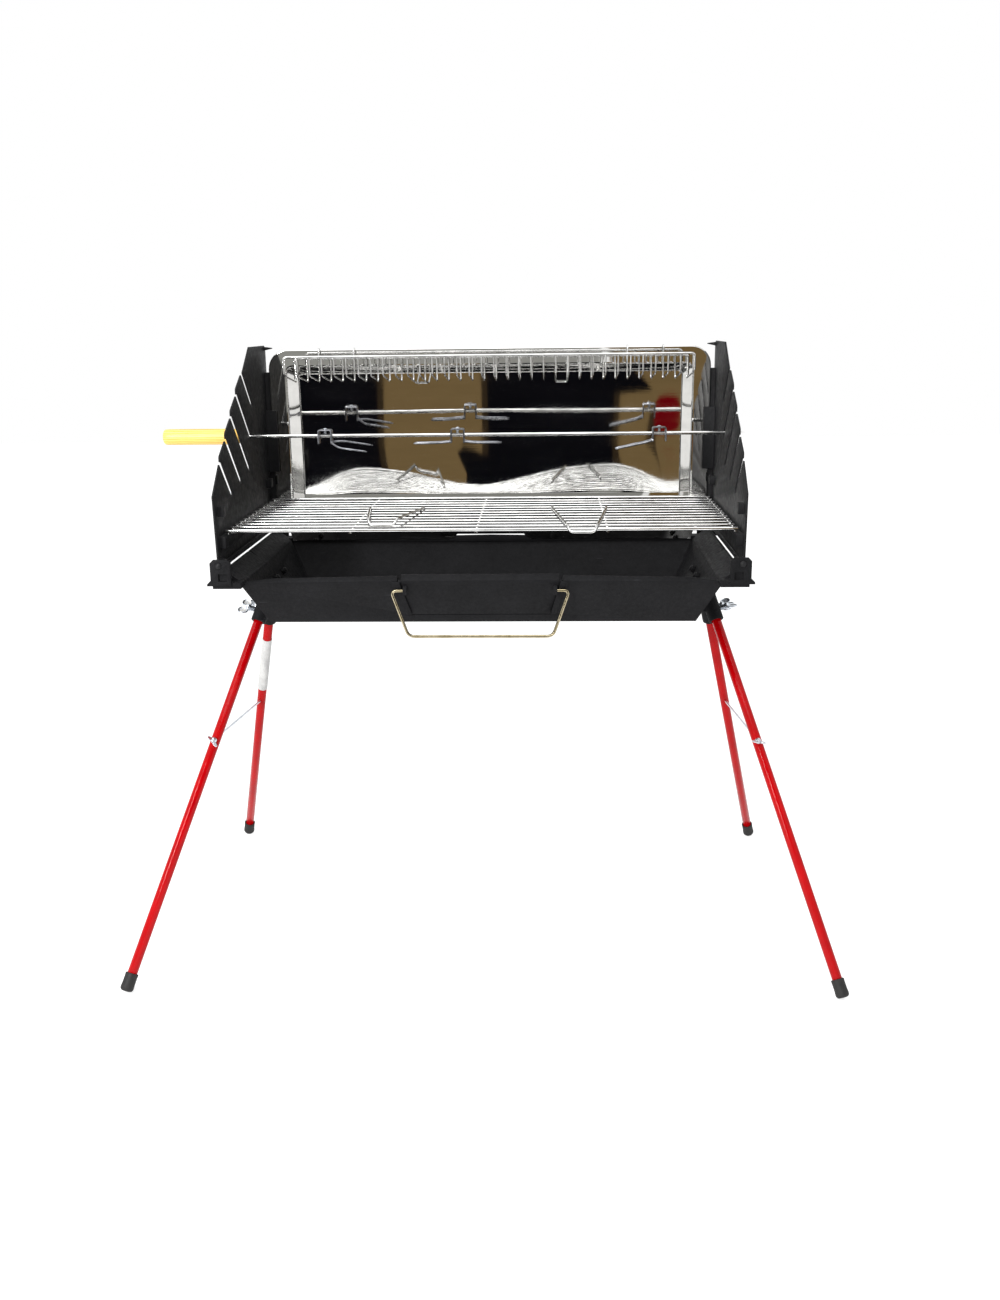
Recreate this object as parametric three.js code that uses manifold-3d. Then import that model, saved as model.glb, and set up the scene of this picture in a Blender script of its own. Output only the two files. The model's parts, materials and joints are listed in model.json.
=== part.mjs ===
// A cast-iron charcoal barbecue with a hand-turned rotisserie spit, as an assembly of separate pieces.
// Millimetres, +Z up, +X to the cook's right, +Y to the rear.
// The origin is the centre of the four feet, on the floor.
import * as THREE from "three";
import { ConvexGeometry } from "three/addons/geometries/ConvexGeometry.js";
import { mergeVertices } from "three/addons/utils/BufferGeometryUtils.js";
import Module from "manifold-3d";

const wasm = await Module();
wasm.setup();

// ---------------------------------------------------------------- driving dimensions

const GAP = 0.3; // between pieces that rest on each other

// Firebox: an open hopper whose four walls lean out by LEAN over its height
const RIM_Z = 628;
const FLOOR_Z = 557;
const RIM_HALF_X = 379;
const RIM_FRONT_Y = -158;
const RIM_BACK_Y = 236;
const LEAN = 37;
const WALL = 5;
const MID_Y = (RIM_FRONT_Y + RIM_BACK_Y) / 2;
const WALL_SLOPE = LEAN / (RIM_Z - FLOOR_Z);
const WALL_ANGLE = Math.atan(WALL_SLOPE);
const WALL_ACROSS = WALL / Math.cos(WALL_ANGLE); // the wall's thickness measured level

// The long rims rise towards the middle: x is where each station stands, half way along or at the end
const RIM_STATIONS = [
  { x: 0, rise: 4.5, high: 7.5, wide: 12 },
  { x: 330, rise: 2, high: 4.5, wide: 10 },
  { x: RIM_HALF_X - 4, rise: 0, high: 1, wide: 7 },
];

// End rims and corner ears
const END_RIM_TOP_Z = 649;
const END_RIM_HALF_X = 405;
const EAR = { x0: 385, x1: 417, tip: 423, z0: 630, z1: 671, thick: 6, out: 22, corner: 5 };
const EAR_POCKET = { x0: 391, x1: 405, z0: 637, z1: 649, deep: 4 };
const PIN = { x: 403.5, z: 661.5, r: 3, head: 5 };
const KNUCKLE_R = 7.5;

// Hatch: a tapered panel in the front wall that lifts out along the wall
const HATCH = { top: 128, bottom: 113, height: 64, clear: 1.2 };
const BAIL = { down: 10, out: 6.6, wire: 2.5, end: 120, wide: 140, narrow: 114, drop: 74, bend: 10 };
const LUG = { x0: 115, x1: 121, high: 11, out: 11 };

// Side plates
const PLATE_X = 406;
const PLATE_THICK = 2.8;
const PLATE_TOP = { y: 120, z: 985 };
const PLATE_CORNER = { y: -178, z: 768 };
const PLATE_BACK_Y = 245;
const PLATE_BOTTOM_Z = 651;
const HORN = { reach: 15, y0: 228, y1: 237, low: 5.5, high: 2 }; // a cast point at the top of each plate
const SLOT_FIRST = 76; // along the sloping edge, from the top corner to the first slot
const SLOT_PITCH = 54.8;
const SLOT_LENGTHS = [74, 103, 134, 106, 78];
const SLOT_WIDTH = 9.4;
const SLOT_FALL = THREE.MathUtils.degToRad(43.5); // how steeply the slots run down to the rear

// Spit
const SPIT = { r: 3, tip: 441, inHandle: -470 };
const SPIT_SLOT = 1; // the second slot from the top holds it
const HANDLE = { x0: -556, x1: -424, r: 13.6 };
// Each prong runs from the strip's leg out to three points: [distance out, height from the spit's axis]
const STRAIGHT = [[0, -11], [20, -13], [64, -13.6]];
const SAGGING = [[0, -11], [12, -15], [63, -25.5]];
const SPREAD = { front: [[0, -11], [12, -20], [61, -27]], rear: [[0, -11], [17, -9.5], [69, -17.5]] };
const FORKS = [
  { name: "left", x: -276, prongs: [1], front: SPREAD.front, rear: SPREAD.rear },
  { name: "middle", x: -48, prongs: [-1, 1], front: STRAIGHT, rear: STRAIGHT },
  { name: "right", x: 296, prongs: [-1], front: SAGGING, rear: SAGGING },
];
const FORK = { long: 24, deep: 20, up: 11, down: 13, strip: 2, wire: 1.7, apart: 8 };
const SCREW = { r: 2.2, head: 3.4, high: 1.8 };

// Cooking grate
const GRATE = { halfX: 401, frontY: -140, backY: 212, z: 709, rim: 3, bar: 2.2, bars: 11, edgeGap: 35 };
const GRATE_CROSS_X = [-397.5, -204, -6, 200, 397.5];
const LEDGE = { x: 396, y0: -160, y1: 205, top: 702.6, thick: 7 };
const GRATE_LOOPS = [
  { name: "left", x: -153, reach: 206, tilt: 3.5 },
  { name: "right", x: 160, reach: 217, tilt: 0.4 },
];
const LOOP = { half: 46, gripHalf: 19, wire: 2.2, eye: 5, hook: 9, bend: 9, lift: 4.9 };

// Reflector: a folded sheet pan that drops into channels on the side plates
const REFLECTOR = { halfX: 397, z0: 709, z1: 977, y: 224, sheet: 1, border: 32, depth: 46, corner: 34 };
const PANEL_LEAN = 4; // how much further back the panel stands at its lower edge
const APRON = { halfX: 378, z: 641 }; // the part of the reflector that hangs down to the tub's rear rim
const PANEL_INSET = 14;
const LIP = { x: 386, z0: 760, z1: 870, thick: 5, room: 3 };

// Warming rack: a shallow wire basket that hooks over the reflector's top edge
const RACK = { wires: 34, pitch: 21.2, midX: 4, rearY: 212, frontY: 118, wire: 1.5, rail: 2 };
const RACK_REAR = { top: 962, bottom: 921 };
const RACK_FRONT = { top: 967, bottom: 935 };
const RACK_HOOKS = [2, 5, 28, 31];
const RACK_FEET = { at: [11, 23], drop: 7 }; // wire loops that steady the basket against the pan

// Stand: on each end a cast bracket carries two legs that spread from one apex
const APEX = { x: 371, y: MID_Y, z: 591 };
const FEET = { front: [561, -318], rear: [514, 318] };
const FOOT_CENTRE_Z = 9; // the height of the foot cap's round end
const LEG = { r: 8, wall: 1.3, start: 34, short: 4 };
const CAP = { r: 10.5, long: 24 };
const SOCKET = { r: 13, start: 20, end: { front: 76, rear: 90 }, screwAt: { front: 56, rear: 62 } };
const TIE_AT = { front: 288, rear: 286 }; // along each leg, from the apex to the tie rod
const TIE = { r: 2, front: 22, rear: 11.6, head: 3.6 };
const WING_SCREW = { r: 4.5, reach: 22, hub: 6, wing: 8 };
const WING_NUT = { start: 12, hub: 4.8, high: 7, wing: 5.2, wingStart: 3.6 };
const BOLT = { y: 30, z: 600, r: 4, head: 6.5, high: 5 };
const LABEL = { from: 132, to: 254, thick: 0.5, clear: 0.3 };

const ROUND = 16; // sides of a plain round
const WIRE_SIDES = 6;

// ---------------------------------------------------------------- materials

const finish = (color, roughness, metalness) => () =>
  new THREE.MeshStandardMaterial({ color, roughness, metalness });
const castIron = finish(0x1c1c1e, 0.75, 0.3);
const chrome = finish(0xd8d8d8, 0.12, 1);
const stainless = finish(0xc9c9c7, 0.08, 1);
const blackSteel = finish(0x18181a, 0.5, 0.4);
const zinc = finish(0xb9c0c6, 0.35, 0.9);
const yellowZinc = finish(0xa89a68, 0.3, 0.9);
const redPaint = finish(0xb80f1c, 0.25, 0.1);
const blackRubber = finish(0x151515, 0.6, 0);
const varnishedWood = finish(0xf0c860, 0.35, 0);
const whitePaper = finish(0xe8e8e4, 0.6, 0);

// ---------------------------------------------------------------- solids

// A closed geometry as a manifold-3d solid.
function solid(geometry, matrix = new THREE.Matrix4()) {
  const bare = new THREE.BufferGeometry();
  bare.setAttribute("position", geometry.getAttribute("position").clone());
  bare.setIndex(geometry.index);
  bare.applyMatrix4(matrix);
  const merged = mergeVertices(bare, 1e-3);
  return new wasm.Manifold(
    new wasm.Mesh({
      numProp: 3,
      vertProperties: merged.getAttribute("position").array,
      triVerts: new Uint32Array(merged.index.array),
    }),
  );
}

const join = (solids) => solids.reduce((sum, next) => sum.add(next));

function geometryOf(made) {
  const mesh = made.getMesh();
  const geometry = new THREE.BufferGeometry();
  geometry.setAttribute("position", new THREE.BufferAttribute(mesh.vertProperties, 3));
  geometry.setIndex(new THREE.BufferAttribute(mesh.triVerts, 1));
  const flat = geometry.toNonIndexed();
  flat.computeVertexNormals();
  return flat;
}

function piece(name, made, material) {
  const mesh = new THREE.Mesh(geometryOf(made), material());
  mesh.name = name;
  return mesh;
}

const v = (x, y, z) => new THREE.Vector3(x, y, z);

function box(x0, x1, y0, y1, z0, z1) {
  const geometry = new THREE.BoxGeometry(x1 - x0, y1 - y0, z1 - z0);
  geometry.translate((x0 + x1) / 2, (y0 + y1) / 2, (z0 + z1) / 2);
  return solid(geometry);
}

// The matrix that takes local +Y onto the line from one point towards another.
function along(from, to) {
  const turn = new THREE.Quaternion().setFromUnitVectors(v(0, 1, 0), to.clone().sub(from).normalize());
  return new THREE.Matrix4().compose(from, turn, v(1, 1, 1));
}

function rod(from, to, radius, sides = ROUND) {
  const length = from.distanceTo(to);
  const geometry = new THREE.CylinderGeometry(radius, radius, length, sides);
  geometry.translate(0, length / 2, 0);
  return solid(geometry, along(from, to));
}

// A lathe about the line from one point towards another; the profile is [radius, distance] pairs.
function turned(from, to, profile, sides = ROUND) {
  const points = profile.map(([radius, distance]) => new THREE.Vector2(radius, distance));
  return solid(new THREE.LatheGeometry(points, sides), along(from, to));
}

// A tube's profile closes on itself, from one distance along the axis to another.
function tubeProfile(outer, inner, start, end) {
  return [
    [inner, start],
    [outer, start],
    [outer, end],
    [inner, end],
    [inner, start],
  ];
}

// Outlines are drawn in one plane and pushed along the third axis.
function extrudeX(shape, x0, x1) {
  const settings = { depth: x1 - x0, bevelEnabled: false, curveSegments: 5 };
  const geometry = new THREE.ExtrudeGeometry(shape, settings);
  const toYZ = new THREE.Matrix4().makeBasis(v(0, 1, 0), v(0, 0, 1), v(1, 0, 0));
  return solid(geometry, toYZ.setPosition(x0, 0, 0));
}

function extrudeY(shape, y0, y1) {
  const settings = { depth: y1 - y0, bevelEnabled: false, curveSegments: 5 };
  const geometry = new THREE.ExtrudeGeometry(shape, settings);
  const toXZ = new THREE.Matrix4().makeBasis(v(1, 0, 0), v(0, 0, 1), v(0, -1, 0));
  return solid(geometry, toXZ.setPosition(0, y1, 0));
}

// A bent strip's outline: the given corners with the same thickness all along, mitred where it turns.
function strip(corners, half) {
  const across = (a, b) => new THREE.Vector2(a[1] - b[1], b[0] - a[0]).normalize();
  const left = [];
  const right = [];
  corners.forEach((corner, i) => {
    const before = across(corners[Math.max(i - 1, 0)], corners[Math.max(i, 1)]);
    const last = corners.length - 1;
    const after = across(corners[Math.min(i, last - 1)], corners[Math.min(i + 1, last)]);
    const mitre = before.add(after).normalize();
    mitre.multiplyScalar(half / mitre.dot(after));
    left.push([corner[0] + mitre.x, corner[1] + mitre.y]);
    right.unshift([corner[0] - mitre.x, corner[1] - mitre.y]);
  });
  return outline([...left, ...right]);
}

const outline = (points) => new THREE.Shape(points.map(([a, b]) => new THREE.Vector2(a, b)));
const hull = (points) => solid(new ConvexGeometry(points));

// A rectangle frustum between two levels along Z or Y.
function hopper(low, high) {
  const corners = [];
  for (const { x, y0, y1, z } of [low, high])
    for (const side of [-x, x]) corners.push(v(side, y0, z), v(side, y1, z));
  return hull(corners);
}

// A wire's centre line: straight runs joined by arcs of the given bend radius.
class WirePath extends THREE.Curve {
  constructor(corners, bend, arcSteps) {
    super();
    this.points = [corners[0]];
    for (let i = 1; i < corners.length - 1; i++) {
      const [before, at, after] = corners.slice(i - 1, i + 2);
      const back = before.clone().sub(at);
      const ahead = after.clone().sub(at);
      const room = Math.min(bend, 0.45 * back.length(), 0.45 * ahead.length());
      const start = at.clone().addScaledVector(back.normalize(), room);
      const end = at.clone().addScaledVector(ahead.normalize(), room);
      const arc = new THREE.QuadraticBezierCurve3(start, at, end);
      for (const point of arc.getPoints(arcSteps)) this.points.push(point);
    }
    this.points.push(corners[corners.length - 1]);
  }
  getSpacedPoints() {
    return this.points;
  }
  getTangentAt(u) {
    const i = Math.round(u * (this.points.length - 1));
    const before = this.points[Math.max(i - 1, 0)];
    const after = this.points[Math.min(i + 1, this.points.length - 1)];
    return after.clone().sub(before).normalize();
  }
}

function wire(corners, radius, { bend = 4, arcSteps = 2, sides = WIRE_SIDES } = {}) {
  const path = new WirePath(corners, bend, arcSteps);
  const section = new THREE.Shape();
  for (let i = 0; i < sides; i++) {
    const turn = (2 * Math.PI * (i + 0.5)) / sides;
    const [a, b] = [radius * Math.cos(turn), radius * Math.sin(turn)];
    if (i) section.lineTo(a, b);
    else section.moveTo(a, b);
  }
  const steps = path.points.length - 1;
  return solid(new THREE.ExtrudeGeometry(section, { extrudePath: path, steps, bevelEnabled: false }));
}

// ---------------------------------------------------------------- firebox

const halfXAt = (z) => RIM_HALF_X - LEAN + WALL_SLOPE * (z - FLOOR_Z);
const hopperLevel = (z, inset) => ({
  x: halfXAt(z) - inset,
  y0: RIM_FRONT_Y + (RIM_HALF_X - halfXAt(z)) + inset,
  y1: RIM_BACK_Y - (RIM_HALF_X - halfXAt(z)) - inset,
  z,
});

// The front wall's own frame: +Y up the slope from the rim's outer edge, +Z out of the wall.
const frontWall = new THREE.Matrix4()
  .makeRotationX(Math.PI / 2 + WALL_ANGLE)
  .setPosition(0, RIM_FRONT_Y, RIM_Z);

function inFrontWall(shape, z0, z1) {
  const geometry = new THREE.ExtrudeGeometry(shape, { depth: z1 - z0, bevelEnabled: false });
  geometry.translate(0, 0, z0);
  return solid(geometry, frontWall);
}

function wallBox(x0, x1, y0, y1, z0, z1) {
  return inFrontWall(outline([[x0, y0], [x1, y0], [x1, y1], [x0, y1]]), z0, z1);
}

// Front and rear rims stand a little proud of the walls, most at the middle.
function longRim(sign) {
  const y = sign < 0 ? RIM_FRONT_Y : RIM_BACK_Y;
  const station = (side, { x, rise, high, wide }) => [
    v(side * x, y + sign * WALL_SLOPE * rise, RIM_Z + rise),
    v(side * x, y - sign * WALL_SLOPE * 8, RIM_Z - 8),
    v(side * x, y - sign * wide, RIM_Z - 8),
    v(side * x, y - sign * wide, RIM_Z + rise + high),
    v(side * x, y - sign * (wide - 2), RIM_Z + rise + high),
  ];
  const [middle, quarter, end] = RIM_STATIONS;
  const run = (side, from, to) => hull([...station(side, from), ...station(side, to)]);
  return join([-1, 1].flatMap((side) => [run(side, middle, quarter), run(side, quarter, end)]));
}

// Each end's rim flares out and up, with a small notch in its top edge.
function endRim(side) {
  const section = outline(
    [
      [RIM_HALF_X - WALL_ACROSS, RIM_Z - 4],
      [RIM_HALF_X - 3, RIM_Z - 7],
      [END_RIM_HALF_X, END_RIM_TOP_Z - 6],
      [END_RIM_HALF_X, END_RIM_TOP_Z],
      [END_RIM_HALF_X - 4, END_RIM_TOP_Z],
      [RIM_HALF_X - WALL_ACROSS, RIM_Z + 1.5],
    ].map(([x, z]) => [side * x, z]),
  );
  const notch = outline([
    [MID_Y - 24 - 4, END_RIM_TOP_Z + 1],
    [MID_Y - 24, END_RIM_TOP_Z - 9],
    [MID_Y - 24 + 4, END_RIM_TOP_Z + 1],
  ]);
  const cut = extrudeX(notch, side * 392 - 20, side * 392 + 20);
  return extrudeY(section, RIM_FRONT_Y, RIM_BACK_Y).subtract(cut);
}

// A corner ear faces forward (or back) and carries the side plate's pin.
function ear(side, end) {
  const { x0, x1, tip, z0, z1, thick, out, corner } = EAR;
  const face = outline(
    [
      [x0, z0],
      [tip, z0],
      [tip, z0 + 3],
      [x1, z0 + 9],
      [x1, z1 - corner],
      [x1 - corner, z1],
      [x0 + corner, z1],
      [x0, z1 - corner],
    ].map(([x, z]) => [side * x, z]),
  );
  const rimY = end < 0 ? RIM_FRONT_Y : RIM_BACK_Y;
  const faceY = rimY + end * (out + thick / 2);
  const plate = extrudeY(face, faceY - thick / 2, faceY + thick / 2);
  const inner = rimY - end * 6;
  const shelf = box(
    Math.min(side * (RIM_HALF_X - 8), side * (x1 - 2)),
    Math.max(side * (RIM_HALF_X - 8), side * (x1 - 2)),
    Math.min(inner, faceY),
    Math.max(inner, faceY),
    RIM_Z - 3,
    z0 + 4,
  );
  const [open, blind] = [faceY + end * thick, faceY + end * (thick / 2 - EAR_POCKET.deep)];
  const pocket = box(
    Math.min(side * EAR_POCKET.x0, side * EAR_POCKET.x1),
    Math.max(side * EAR_POCKET.x0, side * EAR_POCKET.x1),
    Math.min(open, blind),
    Math.max(open, blind),
    EAR_POCKET.z0,
    EAR_POCKET.z1,
  );
  return plate.add(shelf).subtract(pocket);
}

// Half the hatch's width at a height along the wall's slope, measured from the rim.
const hatchEdge = (y) => HATCH.top + (y * (HATCH.top - HATCH.bottom)) / HATCH.height;

function hatchOutline(grow, top) {
  return outline([
    [-HATCH.bottom - grow, -HATCH.height - grow],
    [HATCH.bottom + grow, -HATCH.height - grow],
    [hatchEdge(top) + grow, top],
    [-hatchEdge(top) - grow, top],
  ]);
}

// Ribs along the opening's slanting edges lap over the hatch inside and outside, and guide it.
function hatchGuide(side) {
  const { height, clear } = HATCH;
  const ribAt = (y0, y1, over, beyond, z0, z1) => {
    const corners = [
      [hatchEdge(y0) - over, y0],
      [hatchEdge(y0) + beyond, y0],
      [hatchEdge(y1) + beyond, y1],
      [hatchEdge(y1) - over, y1],
    ];
    return inFrontWall(outline(corners.map(([x, y]) => [side * x, y])), z0, z1);
  };
  return join([
    ribAt(-height + 4, -9, 5, 9, -WALL - 4, -WALL - 0.5),
    ribAt(-height + 4, -9, -clear, 9, -WALL - 1, -WALL + 1),
    ribAt(-height + 2, 3, 2.6, 6, 0.5, 3.4),
    ribAt(-height + 2, -2, -clear, 7.5, -1, 1),
    ribAt(-14, 3, -clear, 10, -1, 2.6),
  ]);
}

function boltPlace(side, y) {
  const at = v(side * halfXAt(BOLT.z), MID_Y + y, BOLT.z);
  const out = v(side * Math.cos(WALL_ANGLE), 0, -Math.sin(WALL_ANGLE));
  return { at, out };
}

function firebox() {
  const shell = hopper(hopperLevel(FLOOR_Z, 0), hopperLevel(RIM_Z, 0));
  const rims = [longRim(-1), longRim(1), endRim(-1), endRim(1)];
  const ears = [];
  for (const side of [-1, 1]) for (const end of [-1, 1]) ears.push(ear(side, end));
  let body = join([shell, ...rims, ...ears]);
  const inside = hopper(hopperLevel(FLOOR_Z + WALL, WALL_ACROSS), hopperLevel(RIM_Z, WALL_ACROSS));
  const mouth = hopper(
    { ...hopperLevel(RIM_Z, WALL_ACROSS), z: RIM_Z - 0.01, y0: RIM_FRONT_Y + 12, y1: RIM_BACK_Y - 12 },
    { ...hopperLevel(RIM_Z, WALL_ACROSS), z: RIM_Z + 1, y0: RIM_FRONT_Y + 12, y1: RIM_BACK_Y - 12 },
  );
  body = body.subtract(inside).subtract(mouth);
  body = body.subtract(inFrontWall(hatchOutline(HATCH.clear, 20), -30, 30));
  body = body.add(hatchGuide(-1)).add(hatchGuide(1));
  for (const side of [-1, 1]) {
    for (const y of [-BOLT.y, BOLT.y]) {
      const { at, out } = boltPlace(side, y);
      const shaft = [at.clone().addScaledVector(out, -15), at.clone().addScaledVector(out, 15)];
      body = body.subtract(rod(...shaft, BOLT.r + 0.4, 12));
    }
    for (const y of [RIM_FRONT_Y - 40, RIM_BACK_Y]) {
      body = body.subtract(rod(v(side * PIN.x, y, PIN.z), v(side * PIN.x, y + 40, PIN.z), PIN.r + GAP, 12));
    }
  }
  return piece("firebox", body, castIron);
}

// ---------------------------------------------------------------- hatch and bail

function hatch() {
  const { rise, high, wide } = RIM_STATIONS[0];
  const panel = inFrontWall(hatchOutline(0, 3), -WALL, 0);
  const lip = hull(
    [-1, 1].flatMap((side) => [
      v(side * (HATCH.top - 4), RIM_FRONT_Y - WALL_SLOPE * rise, RIM_Z + rise),
      v(side * (HATCH.top - 4), RIM_FRONT_Y + wide, RIM_Z + rise + high),
      v(side * (HATCH.top - 4), RIM_FRONT_Y + wide - 2, RIM_Z + rise + high),
      v(side * (HATCH.top - 4), RIM_FRONT_Y + WALL_SLOPE, RIM_Z - 2),
      v(side * (HATCH.top - 4), RIM_FRONT_Y + WALL_ACROSS, RIM_Z - 2),
    ]),
  );
  const lugs = [-1, 1].map((side) => {
    const [x0, x1] = [side * LUG.x0, side * LUG.x1].sort((a, b) => a - b);
    return wallBox(x0, x1, -BAIL.down - LUG.high / 2, -BAIL.down + LUG.high / 2, -1, LUG.out);
  });
  const boreEnd = (side) => v(side * HATCH.top, -BAIL.down, BAIL.out);
  const bore = rod(boreEnd(-1), boreEnd(1), BAIL.wire + GAP + 0.2, 12);
  const body = join([panel, lip, ...lugs]).subtract(bore.transform(frontWall.elements));
  return piece("hatch", body, castIron);
}

function bailHandle() {
  const { wire: r, end, wide, narrow, drop, bend } = BAIL;
  const corners = [
    v(-end + 6, 0, 0),
    v(-wide, 0, 0),
    v(-narrow, 0, -drop),
    v(narrow, 0, -drop),
    v(wide, 0, 0),
    v(end - 6, 0, 0),
  ];
  const mesh = piece("bail_handle", wire(corners, r, { bend, arcSteps: 3, sides: 8 }), yellowZinc);
  mesh.position.set(0, -BAIL.down, BAIL.out).applyMatrix4(frontWall);
  return mesh;
}

// ---------------------------------------------------------------- side plates

const edgeRun = v(0, PLATE_CORNER.y - PLATE_TOP.y, PLATE_CORNER.z - PLATE_TOP.z).normalize();
const slotMouth = (i) => {
  const distance = SLOT_FIRST + i * SLOT_PITCH;
  return [PLATE_TOP.y + edgeRun.y * distance, PLATE_TOP.z + edgeRun.z * distance];
};
const slotEnd = (i) => {
  const [y, z] = slotMouth(i);
  return [y + SLOT_LENGTHS[i] * Math.cos(SLOT_FALL), z - SLOT_LENGTHS[i] * Math.sin(SLOT_FALL)];
};

function plateOutline() {
  const half = SLOT_WIDTH / 2;
  const [down, up] = [-Math.PI / 2 - SLOT_FALL, Math.PI / 2 - SLOT_FALL];
  const across = [half * Math.cos(up), half * Math.sin(up)];
  const shape = new THREE.Shape();
  shape.moveTo(PLATE_TOP.y, PLATE_TOP.z);
  SLOT_LENGTHS.forEach((_, i) => {
    const [mouthY, mouthZ] = slotMouth(i);
    const [endY, endZ] = slotEnd(i);
    shape.lineTo(mouthY + across[0] + 1, mouthZ + across[1]);
    shape.lineTo(endY + across[0], endZ + across[1]);
    shape.absarc(endY, endZ, half, up, down, true);
    shape.lineTo(mouthY - across[0] - 6, mouthZ - across[1] + 4);
    if (i === SLOT_LENGTHS.length - 1) return;
    shape.lineTo(mouthY - 46, mouthZ - 19);
    shape.lineTo(mouthY - 48, mouthZ - 22);
    shape.lineTo(mouthY - 48, mouthZ - 29);
  });
  shape.lineTo(PLATE_CORNER.y, PLATE_CORNER.z);
  shape.lineTo(PLATE_CORNER.y + 6, PLATE_BOTTOM_Z + 14);
  shape.lineTo(PLATE_CORNER.y + 14, PLATE_BOTTOM_Z);
  shape.lineTo(PLATE_BACK_Y - 6, PLATE_BOTTOM_Z);
  shape.lineTo(PLATE_BACK_Y, PLATE_BOTTOM_Z + 14);
  shape.lineTo(PLATE_BACK_Y, PLATE_TOP.z - 8);
  shape.lineTo(PLATE_BACK_Y - 8, PLATE_TOP.z);
  return shape;
}

function sidePlate() {
  const root = PLATE_X + 1; // what is cast on the inner face reaches this far into the plate
  const front = REFLECTOR.y - LIP.room - LIP.thick;
  const back = REFLECTOR.y + LIP.room + LIP.thick;
  const [pinFront, pinBack] = [PLATE_CORNER.y, PLATE_BACK_Y];
  const horn = [
    [root, PLATE_TOP.z - 9],
    [root, PLATE_TOP.z - HORN.high],
    [PLATE_X - HORN.reach, PLATE_TOP.z - HORN.low + 1.5],
    [PLATE_X - HORN.reach, PLATE_TOP.z - HORN.low],
  ];
  const lugs = [LEDGE.y0, LEDGE.y1 - 16].map((y) => box(LEDGE.x + 1, root, y, y + 16, 734, 750));
  let body = join([
    extrudeX(plateOutline(), PLATE_X, PLATE_X + PLATE_THICK),
    box(LEDGE.x, root, LEDGE.y0, LEDGE.y1, LEDGE.top - LEDGE.thick, LEDGE.top),
    box(LEDGE.x, root, LEDGE.y0, LEDGE.y0 + 18, LEDGE.top - 18, LEDGE.top),
    ...lugs,
    box(LIP.x, root, front, front + LIP.thick, LIP.z0, LIP.z1),
    box(LIP.x + 4, root, back - LIP.thick, back, REFLECTOR.z0 - 8, REFLECTOR.z1 - REFLECTOR.corner - 5),
    extrudeY(outline(horn), HORN.y0, HORN.y1),
    box(LIP.x - 4, root, front, back, REFLECTOR.z0 - 9, REFLECTOR.z0 - GAP),
    rod(v(PIN.x, pinFront, PIN.z), v(PIN.x, pinFront + 24, PIN.z), KNUCKLE_R, 12),
    rod(v(PIN.x, pinBack - 12, PIN.z), v(PIN.x, pinBack + 11, PIN.z), KNUCKLE_R, 12),
  ]);
  const bore = rod(v(PIN.x, pinFront - 20, PIN.z), v(PIN.x, pinBack + 30, PIN.z), PIN.r + GAP, 12);
  const { halfX, y, z0 } = REFLECTOR;
  const reflectorPath = box(0, halfX + 2, y - 2, y + 2, z0 - GAP, 1000);
  return body.subtract(bore).subtract(reflectorPath);
}

function platePin(end) {
  const face = end < 0 ? RIM_FRONT_Y - EAR.out - EAR.thick : RIM_BACK_Y + EAR.out + EAR.thick;
  const from = v(PIN.x, face + end * GAP, PIN.z);
  const head = [
    [0, -3.2],
    [PIN.head * 0.6, -2.7],
    [PIN.head, -0.6],
    [PIN.head, 0],
    [PIN.r, 0],
    [PIN.r, 26],
    [0, 26],
  ];
  return turned(from, from.clone().add(v(0, -end, 0)), head, 12);
}

// ---------------------------------------------------------------- spit and forks

const [spitY, slotZ] = slotEnd(SPIT_SLOT);
const spitZ = slotZ - (SLOT_WIDTH / 2 - SPIT.r - GAP); // it lies at the bottom of its slot
const spitAxis = v(0, spitY, spitZ);

function handleProfile() {
  const { x0, x1, r } = HANDLE;
  return [
    [0, x0],
    [r * 0.72, x0],
    [r * 0.94, x0 + 2.5],
    [r, x0 + 7],
    [r, x1 - 12],
    [r * 0.93, x1 - 4],
    [r * 0.78, x1],
    [SPIT.r + GAP, x1],
    [SPIT.r + GAP, SPIT.inHandle - 1],
    [0, SPIT.inHandle - 1],
  ];
}

function spitPieces() {
  const point = [
    [0, SPIT.inHandle],
    [SPIT.r, SPIT.inHandle],
    [SPIT.r, SPIT.tip - 14],
    [0, SPIT.tip],
  ];
  const [from, to] = [v(0, 0, 0), v(1, 0, 0)];
  return [
    piece("spit_rod", turned(from, to, point, 12), chrome),
    piece("spit_handle", turned(from, to, handleProfile(), 20), varnishedWood),
  ];
}

// A fork is a bent strip that slides on the rod, with pointed wires welded to its legs.
function fork({ name, x, prongs, front, rear }) {
  const { long, deep, up, down, strip: thick, wire: r, apart } = FORK;
  const half = long / 2;
  const section = outline([
    [-half, -down],
    [-half + thick, -down],
    [-half + thick, up - thick],
    [half - thick, up - thick],
    [half - thick, -down],
    [half, -down],
    [half, up],
    [-half, up],
  ]);
  let body = extrudeY(section, -deep / 2, deep / 2);
  for (const direction of prongs) {
    for (const [y, run] of [[-apart, front], [apart, rear]]) {
      const corners = run.map(([out, z]) => v(direction * (half - thick / 2 + out), y, z));
      body = body.add(wire(corners, r, { bend: 6 }));
    }
  }
  body = body.subtract(rod(v(-50, 0, 0), v(50, 0, 0), SPIT.r + GAP, 12));
  body = body.subtract(rod(v(0, 0, 0), v(0, 0, 30), SCREW.r + GAP, 12));
  const screw = turned(v(0, 0, SPIT.r + GAP), v(0, 0, 30), [
    [0, 0],
    [SCREW.r, 0],
    [SCREW.r, up - SPIT.r],
    [SCREW.head, up - SPIT.r],
    [SCREW.head, up - SPIT.r + SCREW.high],
    [0, up - SPIT.r + SCREW.high],
  ], 12);
  const group = new THREE.Group();
  group.position.x = x;
  group.add(piece("fork_" + name, body, zinc), piece("fork_screw_" + name, screw, zinc));
  return group;
}

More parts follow.
